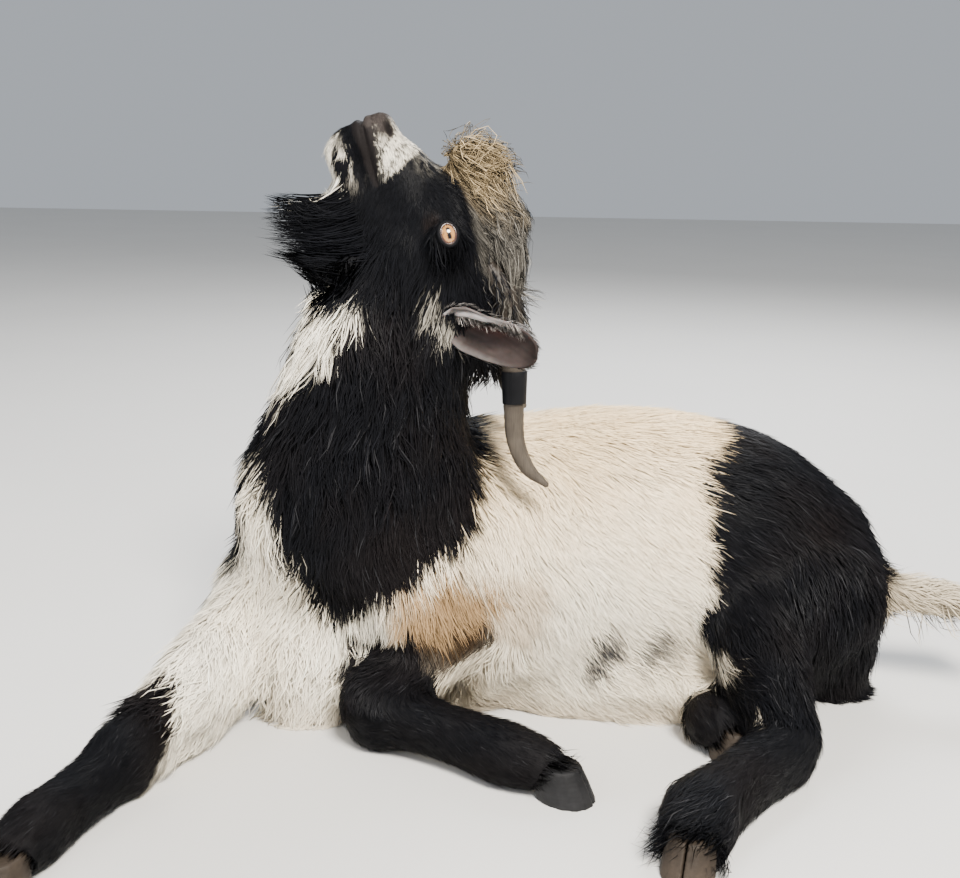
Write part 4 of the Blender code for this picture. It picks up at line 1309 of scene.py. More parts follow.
def keep_largest(obj: Obj) -> None:
    """Drops the loose bits that a remesh leaves."""
    mesh = obj.data
    edges = np.empty(len(mesh.edges) * 2, np.int32)
    mesh.edges.foreach_get("vertices", edges)
    a, b = edges.reshape(-1, 2).T
    label = np.arange(len(mesh.vertices))
    while True:
        low = np.minimum(label[a], label[b])
        new = label.copy()
        np.minimum.at(new, a, low)
        np.minimum.at(new, b, low)
        new = new[new]
        if (new == label).all():
            break
        label = new
    names, sizes = np.unique(label, return_counts=True)
    if len(names) == 1:
        return
    keep = names[sizes.argmax()]
    bm = bmesh.new()
    bm.from_mesh(mesh)
    bm.verts.ensure_lookup_table()
    bmesh.ops.delete(bm, geom=[v for v in bm.verts if label[v.index] != keep], context="VERTS")
    bm.to_mesh(mesh)
    bm.free()


@dataclass(frozen=True)
class Beard:
    """Long locks under chin and jaw, swept forward."""

    count: int = 2000
    width: float = 0.0011
    bends: int = 6
    # Share of the way from chin to throat, and x and z of the tips of the longest locks there.
    TIPS = ((-0.3, -0.14, 0.468), (-0.14, -0.152, 0.464), (0.05, -0.194, 0.473), (0.28, -0.189, 0.455),
            (0.52, -0.186, 0.437), (0.78, -0.172, 0.424), (1.0, -0.15, 0.418))

    def build(self, coat: Coat, roots: Roots) -> Obj:
        """Grows the beard from the jaw's own roots.

        Args:
            coat: the coat, for its locks and its random source.
            roots: all roots on the skin.

        Returns:
            The beard.
        """
        rng, count = coat.rng, self.count
        back, crown, left = head_coords(roots.points).T
        jaw = np.flatnonzero((back > 0.026) & (back < 0.122) & (crown < -0.04) & (np.abs(left) < 0.028))
        weight = 0.15 + ramp(back[jaw], 0.034, 0.055)
        pick = rng.choice(jaw, count, p=weight / weight.sum())
        batch, start = roots.pick(pick), back[pick]
        under_chin = ramp(start, 0.048, 0.034)
        share = np.clip((start - 0.036) / 0.08, 0, 1) - 0.3 * under_chin + rng.normal(0, 0.08, count)
        knots, tips_x, tips_z = np.array(self.TIPS).T
        tips = np.stack([np.interp(share, knots, tips_x), MIDLINE - left[pick] * 0.6,
                         np.interp(share, knots, tips_z)], axis=1)
        tips = tips + rng.normal(0, 0.005, tips.shape)
        reach = np.where(rng.random(count) < 0.18, rng.uniform(0.92, 1.06, count),
                         rng.uniform(0.42, 0.95, count))
        tips = batch.points + (tips - batch.points) * reach[:, None]
        middle = batch.points + (tips - batch.points) * 0.55 + np.array([0.001, 0, -0.012])
        t = (np.arange(self.bends + 1) / self.bends)[None, :, None]
        curves = batch.points[:, None] * (1 - t) ** 2 + 2 * middle[:, None] * t * (1 - t)
        curves = curves + tips[:, None] * t ** 2
        lead = coat.chiefs(batch, 0.035)
        curves = coat.gather(batch, curves, lead, 0.85)
        phase = (rng.uniform(0, 2 * math.pi, count)[lead] + rng.normal(0, 0.4, count))[:, None]
        t = t[:, :, 0]
        curves[:, :, 1] += 0.0022 * np.sin(phase + 5 * t) * t
        curves[:, :, 2] += 0.0026 * np.cos(phase * 2 + 5 * t) * t
        outer = ramp(crown[pick], -0.041, -0.047) * ramp(start, 0.052, 0.032)
        white = (outer * (0.4 + rng.random(count)) > 0.5) & (share < -0.1)
        tints = np.where(white[:, None], Markings.WHITE, Markings.BLACK)
        tints = tints * np.exp(rng.normal(0, 0.2, count))[:, None]
        piece = tuft_mesh("coat_beard", curves, np.full(count, self.width), batch, tints, rng)
        dress(piece, HAIR, ("beard",))
        log.info("coat_beard: %d tufts", count)
        return piece


@dataclass(frozen=True)
class HornFuzz:
    """Grey curls round the root of a horn, down to their lowest height."""

    side: Side
    count: int = 450
    width: float = 0.0009
    lowest: float = 0.358

    def build(self, coat: Coat, roots: Roots) -> Obj:
        """Grows short curls from the upper part of one horn.

        Args:
            coat: the coat, for its locks and its random source.
            roots: all roots on the skin, for the nearest place on the unwrap.

        Returns:
            The curls.
        """
        rng, count = coat.rng, self.count
        rows = Horn(self.side).stations()
        rows = rows[rows[:, 2] > self.lowest]
        pick = rng.integers(0, len(rows), count)
        angle = rng.uniform(0, 2 * math.pi, count)
        around = np.stack([np.cos(angle), np.sin(angle), np.zeros(count)], axis=1)
        start = rows[pick, :3] + around * (rows[pick, 3] * 0.95)[:, None]
        start[:, 2] += np.where(rng.random(count) < 0.3, rng.uniform(0, 0.014, count), 0)
        flow = unit(np.array([0.1, 0, -1.0]) + rng.normal(0, 0.3, (count, 3)))
        closest = np.argmin(np.linalg.norm(roots.points - rows[0, :3], axis=1))
        patch = roots.uvs[closest] + np.stack([angle * 0.004, pick * 0.0008], axis=1)
        batch = Roots(start, around, patch, pick, start, flow)
        lead = coat.chiefs(batch, 0.09)
        flow = unit(flow[lead] + flow * 0.3)
        length = rng.uniform(0.01, 0.02, count)[:, None]
        phase = (rng.uniform(0, 2 * math.pi, count)[lead])[:, None]
        t = np.arange(6)[None] / 5
        rise = 0.0045 * np.sin(np.pi * np.minimum(t * 0.8, 0.5)) + 0.0022 * np.sin(phase + 6.5 * t) * t
        aside = 0.0022 * np.cos(phase + 6.5 * t) * t
        curves = start[:, None] + flow[:, None] * (length * t)[:, :, None]
        curves = curves + around[:, None] * rise[:, :, None]
        curves = curves + np.cross(flow, around)[:, None] * aside[:, :, None]
        tint = Markings.SILVER * np.exp(rng.normal(-0.25, 0.55, count))[:, None]
        tint = np.where((rng.random(count) < 0.45)[:, None], Markings.BLACK * 2, tint)
        name = f"horn_fuzz_{self.side.word}"
        piece = tuft_mesh(name, curves, np.full(count, self.width), batch, tint, rng)
        dress(piece, HAIR)
        return piece


@dataclass(frozen=True)
class Ear:
    """A cupped ear with a rolled upper edge.

    Attributes:
        tip: the far end of the ear's middle line.
        width: half of its width at the widest.
        rows: faces along it.
        columns: faces across it.
    """

    side: Side
    tip: Triple
    width: float = 0.0225
    wall: float = 0.0024
    rows: int = 36
    columns: int = 20
    hairs: int = 1700
    hair_width: float = 0.0006
    MAUVE = np.array([0.034, 0.0255, 0.0235])
    PINK = np.array([0.036, 0.016, 0.014])
    FOLD = np.array([0.38, 0.35, 0.34])
    FRINGE = np.array([0.5, 0.46, 0.43])
    DOWN = np.array([0.25, 0.23, 0.22])

    def build(self) -> Obj:
        """Shapes a grid into the ear, then gives it thickness."""
        obj = shaped(f"ear_skin_{self.side.word}", bpy.ops.mesh.primitive_grid_add, size=2,
                     x_subdivisions=self.rows, y_subdivisions=self.columns)
        grid = points_of(obj)
        places, tints = self._surface((grid[:, 0] + 1) / 2, grid[:, 1])
        move_points(obj, places + HOME)
        paint(obj.data, tints)
        apply(obj, "SOLIDIFY", thickness=self.wall, offset=-self.side)
        apply(obj, "SUBSURF", levels=1, render_levels=1)
        obj.data.shade_smooth()
        recalculate(obj)
        dress(obj, EAR, (f"ear_{self.side.word}",))
        return obj

    def frame(self) -> tuple[Array, Array, Array, Array]:
        """The root, and the directions along, across and out of the cup."""
        root = np.array([-0.036, MIDLINE - self.side * 0.032, 0.379])
        along = np.array(self.tip) - root
        facing = np.array([-0.1, -self.side, -0.25])
        across = unit(np.cross(along, facing))
        return root, along, across, unit(np.cross(across, along))

    def _surface(self, t: Array, u: Array) -> tuple[Array, Array]:
        """The ear's skin.

        Args:
            t: shares of the way along it.
            u: shares of the way across it, from -1 to 1.

        Returns:
            The places and the colours there.
        """
        root, along, across, facing = self.frame()
        width = self.width * np.minimum(1, 0.62 + 1.5 * t) * np.sqrt(np.clip((t + 0.015) / 0.13, 0.02, 1))
        width = width * np.sqrt(np.maximum(0.02, 1 - (t / 1.01) ** 5))
        cup = (0.015 * (1 - t) ** 0.7 + 0.004) * (1 - u * u) * width / self.width
        upper = -u if across[2] < 0 else u
        fade = ramp(t, 0.85, 0.45)
        roll = np.clip((upper - self._fold_edge(t)) / 0.6, 0, 1)
        curl = ramp(roll, 0.0, 0.38) * (1 - 0.8 * roll ** 2) * fade * ramp(t, 0.0, 0.22)
        places = root + t[:, None] * along + across * (u * width)[:, None]
        places = places - facing * (cup * (1 - 0.6 * curl))[:, None] + facing * (0.0055 * curl)[:, None]
        places = places - np.array([0, 0, 1]) * (0.004 * roll ** 2 * fade)[:, None]
        ripple = 0.0006 * np.sin(9 * t + 4 * u) + 0.0005 * wander(places, 0.012, 31)
        places = places + facing * ripple[:, None]
        pink = np.exp(-((t - 0.42) / 0.24) ** 2 - ((upper - 0.15) / 0.42) ** 2)[:, None]
        tint = self.MAUVE + (self.PINK - self.MAUVE) * pink
        rim = (0.2 * ramp(-upper, 0.8, 1.0) * ramp(t, 0.9, 0.5) + curl + ramp(t, 0.14, 0.0))[:, None]
        tint = tint + (self.FOLD - tint) * np.clip(rim, 0, 1)
        tint = tint * (1 + 0.28 * wander(places * np.array([1, 1, 2.2]), 0.007, 63))[:, None]
        return places, tint * (1 - 0.45 * ramp(t, 0.8, 1.0)[:, None])

    @staticmethod
    def _fold_edge(t: Array) -> Array:
        """How far across the ear its rolled edge starts, at shares along it."""
        return 0.02 + 0.8 * t

    def build_hair(self, coat: Coat, roots: Roots) -> Obj:
        """Pale down on the ear's back, and a fringe along its fold.

        Args:
            coat: the coat, for its random source.
            roots: all roots on the skin, for the nearest place on the unwrap.

        Returns:
            The hair.
        """
        rng, count = coat.rng, self.hairs
        t = rng.random(count) ** 1.25 * 0.93
        u = rng.uniform(-1, 1, count)
        root, _, across, facing = self.frame()
        fringe = (rng.random(count) < 0.5) & (t < 0.8)
        past_fold = self._fold_edge(t) + 0.04 + rng.uniform(0.0, 0.75, count) ** 3
        u = np.clip(np.where(fringe, np.sign(across[2]) * past_fold, u), -1, 1)
        places, _ = self._surface(t, u)
        ahead, _ = self._surface(np.minimum(t + 0.02, 1), u)
        aside, _ = self._surface(t, u - 0.03 * np.sign(u))
        flow = unit(ahead - places)
        normal = unit(np.cross(flow, aside - places))
        normal = normal * np.sign(-(normal @ facing))[:, None]
        length = np.where(fringe, rng.uniform(0.004, 0.011, count), rng.uniform(0.005, 0.009, count))
        fringe = fringe[:, None]
        start = places + normal * np.where(fringe, 0.0, 0.0022) + facing * np.where(fringe, 0.0006, 0)
        down = unit(flow * rng.uniform(0.4, 1.3, count)[:, None] - np.array([0, 0, 1]) + facing * 0.3)
        heading = np.where(fringe, down, unit(flow + normal * 0.16 + rng.normal(0, 0.12, (count, 3))))
        curves = np.stack([start + heading * (length * k / 2)[:, None] for k in range(3)], axis=1)
        tint = np.where(fringe, self.FRINGE, self.DOWN) * np.exp(rng.normal(0, 0.3, count))[:, None]
        tint = np.where((rng.random(count) < 0.25)[:, None], tint * 0.35, tint)
        closest = np.argmin(np.linalg.norm(roots.points - root, axis=1))
        patch = np.tile(roots.uvs[closest], (count, 1)) + np.stack([t * 0.03, u * 0.012], axis=1)
        batch = Roots(start, normal, patch, roots.zones[:1], roots.values[:1], heading)
        name = f"ear_hair_{self.side.word}"
        hair = tuft_mesh(name, curves, np.full(count, self.hair_width), batch, tint, rng)
        dress(hair, HAIR)
        return hair


def rounds(rows: Array, angles: Array, reach: Array) -> Array:
    """Places round a horn.

    Args:
        rows: its stations, as Horn.stations gives them.
        angles: how far round it, from its front.
        reach: how far out, to the side and to the front, as (station, angle, 2).

    Returns:
        The places as (station, angle, axis), in the row's frame.
    """
    way = unit(np.gradient(rows[:, :3], axis=0))
    side = unit(np.cross(way, (1, 0, 0)))
    front = np.cross(side, way)
    aside, ahead = np.sin(angles)[:, None] * reach[..., :1], np.cos(angles)[:, None] * reach[..., 1:]
    return rows[:, None, :3] + side[:, None] * aside + front[:, None] * ahead + HOME


@dataclass(frozen=True)
class Horn:
    """A ridged horn, swept back and turned out at the tip."""

    side: Side
    sides: int = 28
    steps: int = 90
    # Stations of the left horn: x, distance from the middle, z, and its reach sideways and forwards.
    PATH = ((0.002, 0.012, 0.418, 0.011, 0.012), (0.017, 0.016, 0.398, 0.0125, 0.0135),
            (0.024, 0.018, 0.372, 0.011, 0.0115), (0.0275, 0.02, 0.335, 0.0092, 0.0096),
            (0.0285, 0.022, 0.3, 0.008, 0.0084), (0.031, 0.025, 0.272, 0.007, 0.0074),
            (0.041, 0.028, 0.25, 0.0058, 0.006), (0.058, 0.031, 0.2355, 0.0022, 0.0023))
    DARK = np.array([0.026, 0.021, 0.017])
    PALE = np.array([0.062, 0.051, 0.04])

    def stations(self) -> Array:
        """Rows of place and reach down the horn, in the landmark frame. The right one is shorter."""
        path = np.array(self.PATH)
        if self.side is Side.RIGHT:
            path[:, 0] = 0.012 + (path[:, 0] - 0.012) * 0.6
            path[:, 2] = 0.398 - (0.398 - path[:, 2]) * 0.66
        path[:, 1] = MIDLINE - self.side * path[:, 1]
        t = np.linspace(0, len(path) - 1, self.steps)
        return np.stack([smooth_through(path[:, k], t) for k in range(5)], axis=1)

    def build(self) -> Obj:
        """Sweeps a ring down the path, swelling and pinching it for the ridges."""
        rows = self.stations()
        rows[:, 3:] *= 0.97
        run = np.append(0, np.cumsum(np.linalg.norm(np.diff(rows[:, :3], axis=0), axis=1)))
        ridges = np.sin(run * 2 * math.pi / 0.0085 + 1.4 * np.sin(run * 90))
        ridges = 1 + 0.03 * ridges * (1 - run / run[-1]) ** 0.5
        angles = 2 * math.pi * np.arange(self.sides) / self.sides
        keel = 1 + 0.07 * np.cos(angles) ** 8 - 0.03 * np.cos(3 * angles)
        places = rounds(rows, angles, rows[:, None, 3:] * (ridges[:, None] * keel)[:, :, None])
        obj = shaped(f"horn_{self.side.word}_ridged", bpy.ops.mesh.primitive_circle_add,
                     vertices=self.sides, fill_type="NGON")
        bm = bmesh.new()
        bm.from_mesh(obj.data)
        rings = [list(bm.verts)] + [[bm.verts.new() for _ in angles] for _ in rows[1:]]
        for ring, line in zip(rings, places):
            for vert, place in zip(ring, line):
                vert.co = place
        for lower, upper in zip(rings, rings[1:]):
            for i in range(self.sides):
                j = (i + 1) % self.sides
                bm.faces.new((lower[i], lower[j], upper[j], upper[i]))
        ahead = unit(rows[-1, :3] - rows[-2, :3])
        tip = bm.verts.new(rows[-1, :3] + ahead * rows[-1, 3] * 0.8 + HOME)
        for i in range(self.sides):
            bm.faces.new((rings[-1][i], rings[-1][(i + 1) % self.sides], tip))
        bmesh.ops.recalc_face_normals(bm, faces=bm.faces)
        bm.to_mesh(obj.data)
        bm.free()
        obj.data.shade_smooth()
        paint(obj.data, self._tints(points_of(obj) - HOME))
        dress(obj, FIBRE, (f"horn_{self.side.word}",))
        return obj

    def _tints(self, points: Array) -> Array:
        """Darker and browner at the root, greyer down the horn."""
        share = ramp(points[:, 2], 0.4, 0.29)[:, None]
        tone = 0.22 * wander(points * np.array([1, 1, 0.15]), 0.006, 41) + 0.12 * wander(points, 0.01, 42)
        return (self.DARK + (self.PALE - self.DARK) * share) * np.exp(tone)[:, None]


def smooth_through(values: Array, t: Array) -> Array:
    """Values on a Catmull-Rom curve.

    Args:
        values: its knots.
        t: places along it, counted in knots.

    Returns:
        The values there.
    """
    padded = np.concatenate([[2 * values[0] - values[1]], values, [2 * values[-1] - values[-2]]])
    i = np.minimum(t.astype(int), len(values) - 2)
    f = t - i
    a, b, c, d = (padded[i + k] for k in range(4))
    square, cube = 2 * a - 5 * b + 4 * c - d, 3 * b - a - 3 * c + d
    return 0.5 * (2 * b + (c - a) * f + square * f ** 2 + cube * f ** 3)


def recalculate(obj: Obj) -> None:
    """Merges doubles and turns every face outwards."""
    bm = bmesh.new()
    bm.from_mesh(obj.data)
    bmesh.ops.remove_doubles(bm, verts=bm.verts, dist=1e-6)
    bmesh.ops.recalc_face_normals(bm, faces=bm.faces)
    bm.to_mesh(obj.data)
    bm.free()


@dataclass(frozen=True)
class Eye:
    """An amber eye with a long slit pupil, under a clear swelling, and its dark rim of lids.

    Attributes:
        shape: its place, its size and its lids' opening.
        swelling: how far its front stands out, as a share of the radius.
        rim: half the thickness of the lids' edge.
    """

    shape: EyeShape
    swelling: float = 0.055
    rim: float = 0.00105
    AMBER = np.array([0.36, 0.175, 0.058])
    RING = np.array([0.055, 0.026, 0.016])
    PUPIL = np.array([0.004, 0.003, 0.004])
    LID = np.array([0.016, 0.009, 0.008])
    MOIST = np.array([0.04, 0.014, 0.01])

    def build(self) -> None:
        """Makes the ball and the rim."""
        self._ball()
        self._rim()

    def _placed(self, local: Array) -> Array:
        """Points along the opening, up and out of the eye, in the row's frame."""
        axes = np.stack([self.shape.long_axis, self.shape.short_axis, self.shape.out], axis=1)
        return local @ axes.T + self.shape.centre + HOME

    def _ball(self) -> None:
        """The ball, with its swelling in front."""
        word, radius = self.shape.side.word, self.shape.radius
        ball = shaped(f"eyeball_{word}", bpy.ops.mesh.primitive_uv_sphere_add, segments=64, ring_count=40,
                      radius=radius)
        points = points_of(ball)
        tilt = np.arccos(np.clip(points[:, 2] / radius, -1, 1))
        local = points * (1 + self.swelling * ramp(tilt, 0.95, 0.3))[:, None]
        move_points(ball, self._placed(local))
        paint(ball.data, self._tints(local[:, 0] / radius, local[:, 1] / radius, tilt))
        ball.data.shade_smooth()
        recalculate(ball)
        dress(ball, WET, (f"eye_{word}",))

    def _tints(self, along: Array, up: Array, tilt: Array) -> Array:
        """Rayed iris, long dark pupil and dark ring.

        Args:
            along: places along the opening, as shares of the radius.
            up: places up it, the same way.
            tilt: angle from straight out.

        Returns:
            The colours there.
        """
        turn = np.arctan2(up, along)
        rays = 1 + 0.16 * np.sin(turn * 23 + 3 * np.sin(turn * 5)) + 0.1 * np.sin(turn * 51)
        tint = self.AMBER * (rays * (1.05 - 0.25 * np.hypot(along, up)))[:, None]
        tint = tint + (self.RING - tint) * ramp(tilt, 0.8, 0.92)[:, None]
        slit = np.hypot(np.maximum(np.abs(along) - 0.27, 0), up)
        dark = ramp(slit, 0.135, 0.105)[:, None]
        return tint * (1 - dark) + self.PUPIL * dark

    def _rim(self) -> None:
        """A soft tube along the edge of the lids."""
        shape = self.shape
        rim = shaped(f"eye_rim_{shape.side.word}", bpy.ops.mesh.primitive_torus_add, major_segments=72,
                     minor_segments=14, major_radius=1, minor_radius=0.1)
        points = points_of(rim)
        turn = np.arctan2(points[:, 1], points[:, 0])
        radial = (np.hypot(points[:, 0], points[:, 1]) - 1) / 0.1
        tilt = shape.opening(turn) + 0.045 + radial * self.rim / shape.radius * 1.15
        radius = shape.radius + 0.0008 + points[:, 2] / 0.1 * self.rim
        local = np.stack([np.cos(turn) * np.sin(tilt), np.sin(turn) * np.sin(tilt), np.cos(tilt)], axis=1)
        move_points(rim, self._placed(local * radius[:, None]))
        inner = ramp(radial, 0.2, -0.8)[:, None]
        paint(rim.data, self.LID * (1 - inner) + self.MOIST * inner)
        rim.data.shade_smooth()
        recalculate(rim)
        dress(rim, LID)


@dataclass(frozen=True)
class Claws:
    """The eight horny toes, rounded and ringed with growth lines."""

    voxel: float = 0.0013
    smoothing: int = 6
    BLACK = np.array([0.015, 0.015, 0.016])
    BROWN = np.array([0.042, 0.032, 0.024])

    def build(self, nodes: dict[str, Obj]) -> None:
        """Makes one smooth claw for each packed one. Those of the left foreleg are black."""
        for name in sorted(n for n in nodes if n.startswith("claw_")):
            mesh = nodes[name].data.copy()
            obj = linked(name.replace("claw", "hoof"), mesh)
            mesh.name = obj.name
            recalculate(obj)
            apply(obj, "REMESH", mode="VOXEL", voxel_size=self.voxel)
            apply(obj, "SMOOTH", factor=0.5, iterations=self.smoothing)
            points = points_of(obj)
            points[:, 2] = np.maximum(points[:, 2], 0)
            move_points(obj, points)
            tone = np.exp(0.22 * wander(points, 0.012, 51) + 0.14 * wander(points, 0.003, 52))
            base = self.BLACK if "foreleg_left" in name else self.BROWN
            high = ramp(points[:, 2], 0.006, 0.022)[:, None]
            paint(obj.data, base * tone[:, None] * (1 - 0.35 * high))
            obj.data.shade_smooth()
            dress(obj, HOOF, (name,))


class NodeBuilder:
    """Small helper that wires one material."""

    def __init__(self, name: str) -> None:
        """Starts an empty material with one Principled shader."""
        self.material = bpy.data.materials.get(name) or bpy.data.materials.new(name)
        self.material.use_nodes = True
        self.nodes = self.material.node_tree.nodes
        self.links = self.material.node_tree.links
        self.nodes.clear()
        self.shader = self.nodes.new("ShaderNodeBsdfPrincipled")
        out = self.nodes.new("ShaderNodeOutputMaterial")
        self.links.new(self.shader.outputs["BSDF"], out.inputs["Surface"])
        self.coords = self.nodes.new("ShaderNodeTexCoord").outputs["Object"]

    def tint(self) -> Socket:
        """The colour attribute of the piece."""
        node = self.nodes.new("ShaderNodeAttribute")
        node.attribute_name = "Tint"
        return node.outputs["Color"]

    def noise(self, scale: float, detail: float = 3.0, stretch: Triple = (1, 1, 1)) -> Socket:
        """Noise in object space, drawn out along an axis where its stretch is under one."""
        mapping = self.nodes.new("ShaderNodeMapping")
        mapping.inputs["Scale"].default_value = stretch
        self.links.new(self.coords, mapping.inputs["Vector"])
        node = self.nodes.new("ShaderNodeTexNoise")
        node.inputs["Scale"].default_value = scale
        node.inputs["Detail"].default_value = detail
        self.links.new(mapping.outputs["Vector"], node.inputs["Vector"])
        return node.outputs["Fac"]

    def waves(self, scale: float, distortion: float, direction: str = "Z") -> Socket:
        """Bands in object space."""
        node = self.nodes.new("ShaderNodeTexWave")
        node.bands_direction = direction
        node.inputs["Scale"].default_value = scale
        node.inputs["Distortion"].default_value = distortion
        node.inputs["Detail"].default_value = 2.0
        self.links.new(self.coords, node.inputs["Vector"])
        return node.outputs["Fac"]

    def graded(self, factor: Socket, low: float, high: float) -> Socket:
        """Maps 0..1 to low..high."""
        node = self.nodes.new("ShaderNodeMapRange")
        node.inputs["To Min"].default_value = low
        node.inputs["To Max"].default_value = high
        self.links.new(factor, node.inputs["Value"])
        return node.outputs["Result"]

    def toned(self, noise: Socket, low: float, high: float) -> None:
        """Colours the shader with the piece's own colour, times low to high."""
        node = self.nodes.new("ShaderNodeVectorMath")
        node.operation = "SCALE"
        self.links.new(self.tint(), node.inputs[0])
        self.links.new(self.graded(noise, low, high), node.inputs["Scale"])
        self.links.new(node.outputs["Vector"], self.shader.inputs["Base Color"])

    def dyed(self, noise: Socket, low: Triple, high: Triple) -> None:
        """Colours the shader from one colour to another."""
        node = self.nodes.new("ShaderNodeValToRGB")
        for element, colour in zip(node.color_ramp.elements, (low, high)):
            element.color = (*colour, 1)
        self.links.new(noise, node.inputs["Fac"])
        self.links.new(node.outputs["Color"], self.shader.inputs["Base Color"])

    def rough(self, noise: Socket, low: float, high: float) -> None:
        """Gives the shader a roughness of low to high."""
        self.links.new(self.graded(noise, low, high), self.shader.inputs["Roughness"])

    def bump(self, height: Socket, strength: float, distance: float) -> None:
        """Presses a height into the shader's normal."""
        node = self.nodes.new("ShaderNodeBump")
        node.inputs["Strength"].default_value = strength
        node.inputs["Distance"].default_value = distance
        self.links.new(height, node.inputs["Height"])
        self.links.new(node.outputs["Normal"], self.shader.inputs["Normal"])

    def set(self, values: dict[str, float]) -> None:
        """Sets the shader's own values."""
        for key, value in values.items():
            self.shader.inputs[key].default_value = value


@dataclass(frozen=True)
class Finish:
    """Looks of a piece: its own colours and its roughness, both uneven, and a relief.

    Attributes:
        name: of the material.
        grain: scale, detail and stretch of the noise in the colour.
        tone: least and most that the colour is scaled by.
        rough: least and most roughness.
        wear: noise in the roughness, where it isn't the grain.
        relief: noise of the relief, where it isn't the grain.
        bump: strength and depth of the relief, if there is one.
        others: the shader's other values.
    """

    name: str
    grain: tuple
    tone: tuple[float, float]
    rough: tuple[float, float]
    wear: tuple = ()
    relief: tuple = ()
    bump: tuple[float, ...] = ()
    others: tuple[tuple[str, float], ...] = ()

    def material(self) -> Material:
        """Wires the material."""
        build = NodeBuilder(self.name)
        grain = build.noise(*self.grain)
        build.toned(grain, *self.tone)
        build.rough(build.noise(*self.wear) if self.wear else grain, *self.rough)
        build.set(dict(self.others))
        if self.bump:
            build.bump(self.height(build, grain), *self.bump)
        return build.material

    def height(self, build: NodeBuilder, grain: Socket) -> Socket:
        """The noise that the relief is made of."""
        return build.noise(*self.relief) if self.relief else grain


@dataclass(frozen=True)
class HoofFinish(Finish):
    """Worn claw horn, ringed with growth lines."""

    def height(self, build: NodeBuilder, grain: Socket) -> Socket:
        """The growth lines."""
        return build.waves(90, 2.5)


GLOSS = "Specular IOR Level"
# Fine hair, the felt of short hair over the skin, an ear's thin skin, the horns' fibres, the claws, the
# eye's wet front, and the moist edge of the lids.
HAIR = Finish("hair", (240, 2), (0.8, 1.2), (0.34, 0.52), wear=(90,), others=((GLOSS, 0.06),))
FELT = Finish("skin_felt", (1400, 4, (1, 1, 0.25)), (0.55, 1.15), (0.55, 0.75), bump=(0.6, 0.0009),
              others=((GLOSS, 0.08),))
EAR = Finish("ear_skin", (160, 4), (0.75, 1.25), (0.42, 0.62), (300,), (1500, 3, (0.3, 1, 1)),
             (0.35, 0.0005), (("Subsurface Weight", 0.15), ("Subsurface Scale", 0.004), (GLOSS, 0.08)))
FIBRE = Finish("horn_fibre", (900, 4, (1, 1, 0.05)), (0.62, 1.35), (0.36, 0.58), bump=(0.5, 0.0006),
               others=((GLOSS, 0.16),))
HOOF = HoofFinish("hoof_horn", (600, 4), (0.6, 1.35), (0.45, 0.75), bump=(0.16, 0.0004),
                  others=((GLOSS, 0.14),))
WET = Finish("eye_wet", (700, 2), (0.85, 1.15), (0.1, 0.16), wear=(60,),
             others=(("Coat Weight", 0.5), ("Coat Roughness", 0.03), ("Coat IOR", 1.38)))
LID = Finish("lid_edge", (500, 3), (0.7, 1.3), (0.18, 0.36), (900,), (1800,), (0.4, 0.0003))


@dataclass(frozen=True)
class TapeFinish:
    """Black cloth tape, wrapped flat."""

    def material(self) -> Material:
        """Fine woven black tape with a faint sheen."""
        build = NodeBuilder("tape_cloth")
        weave = build.nodes.new("ShaderNodeMath")
        weave.operation = "MULTIPLY"
        for socket, direction in zip(weave.inputs, "ZX"):
            build.links.new(build.waves(420, 0.3, direction), socket)
        build.dyed(build.noise(120, 3), (0.003, 0.0031, 0.004), (0.0075, 0.0078, 0.0095))
        build.rough(build.noise(80), 0.42, 0.55)
        build.set({GLOSS: 0.12})
        build.bump(weave.outputs["Value"], 0.25, 0.0004)
        return build.material


@dataclass(frozen=True)
class FloorFinish:
    """Pale, matt, faintly uneven floor."""

    def material(self) -> Material:
        """Wires the material."""
        build = NodeBuilder("floor_pale")
        build.dyed(build.noise(3), (0.6, 0.59, 0.57), (0.64, 0.63, 0.61))
        build.set({"Roughness": 0.8})
        return build.material


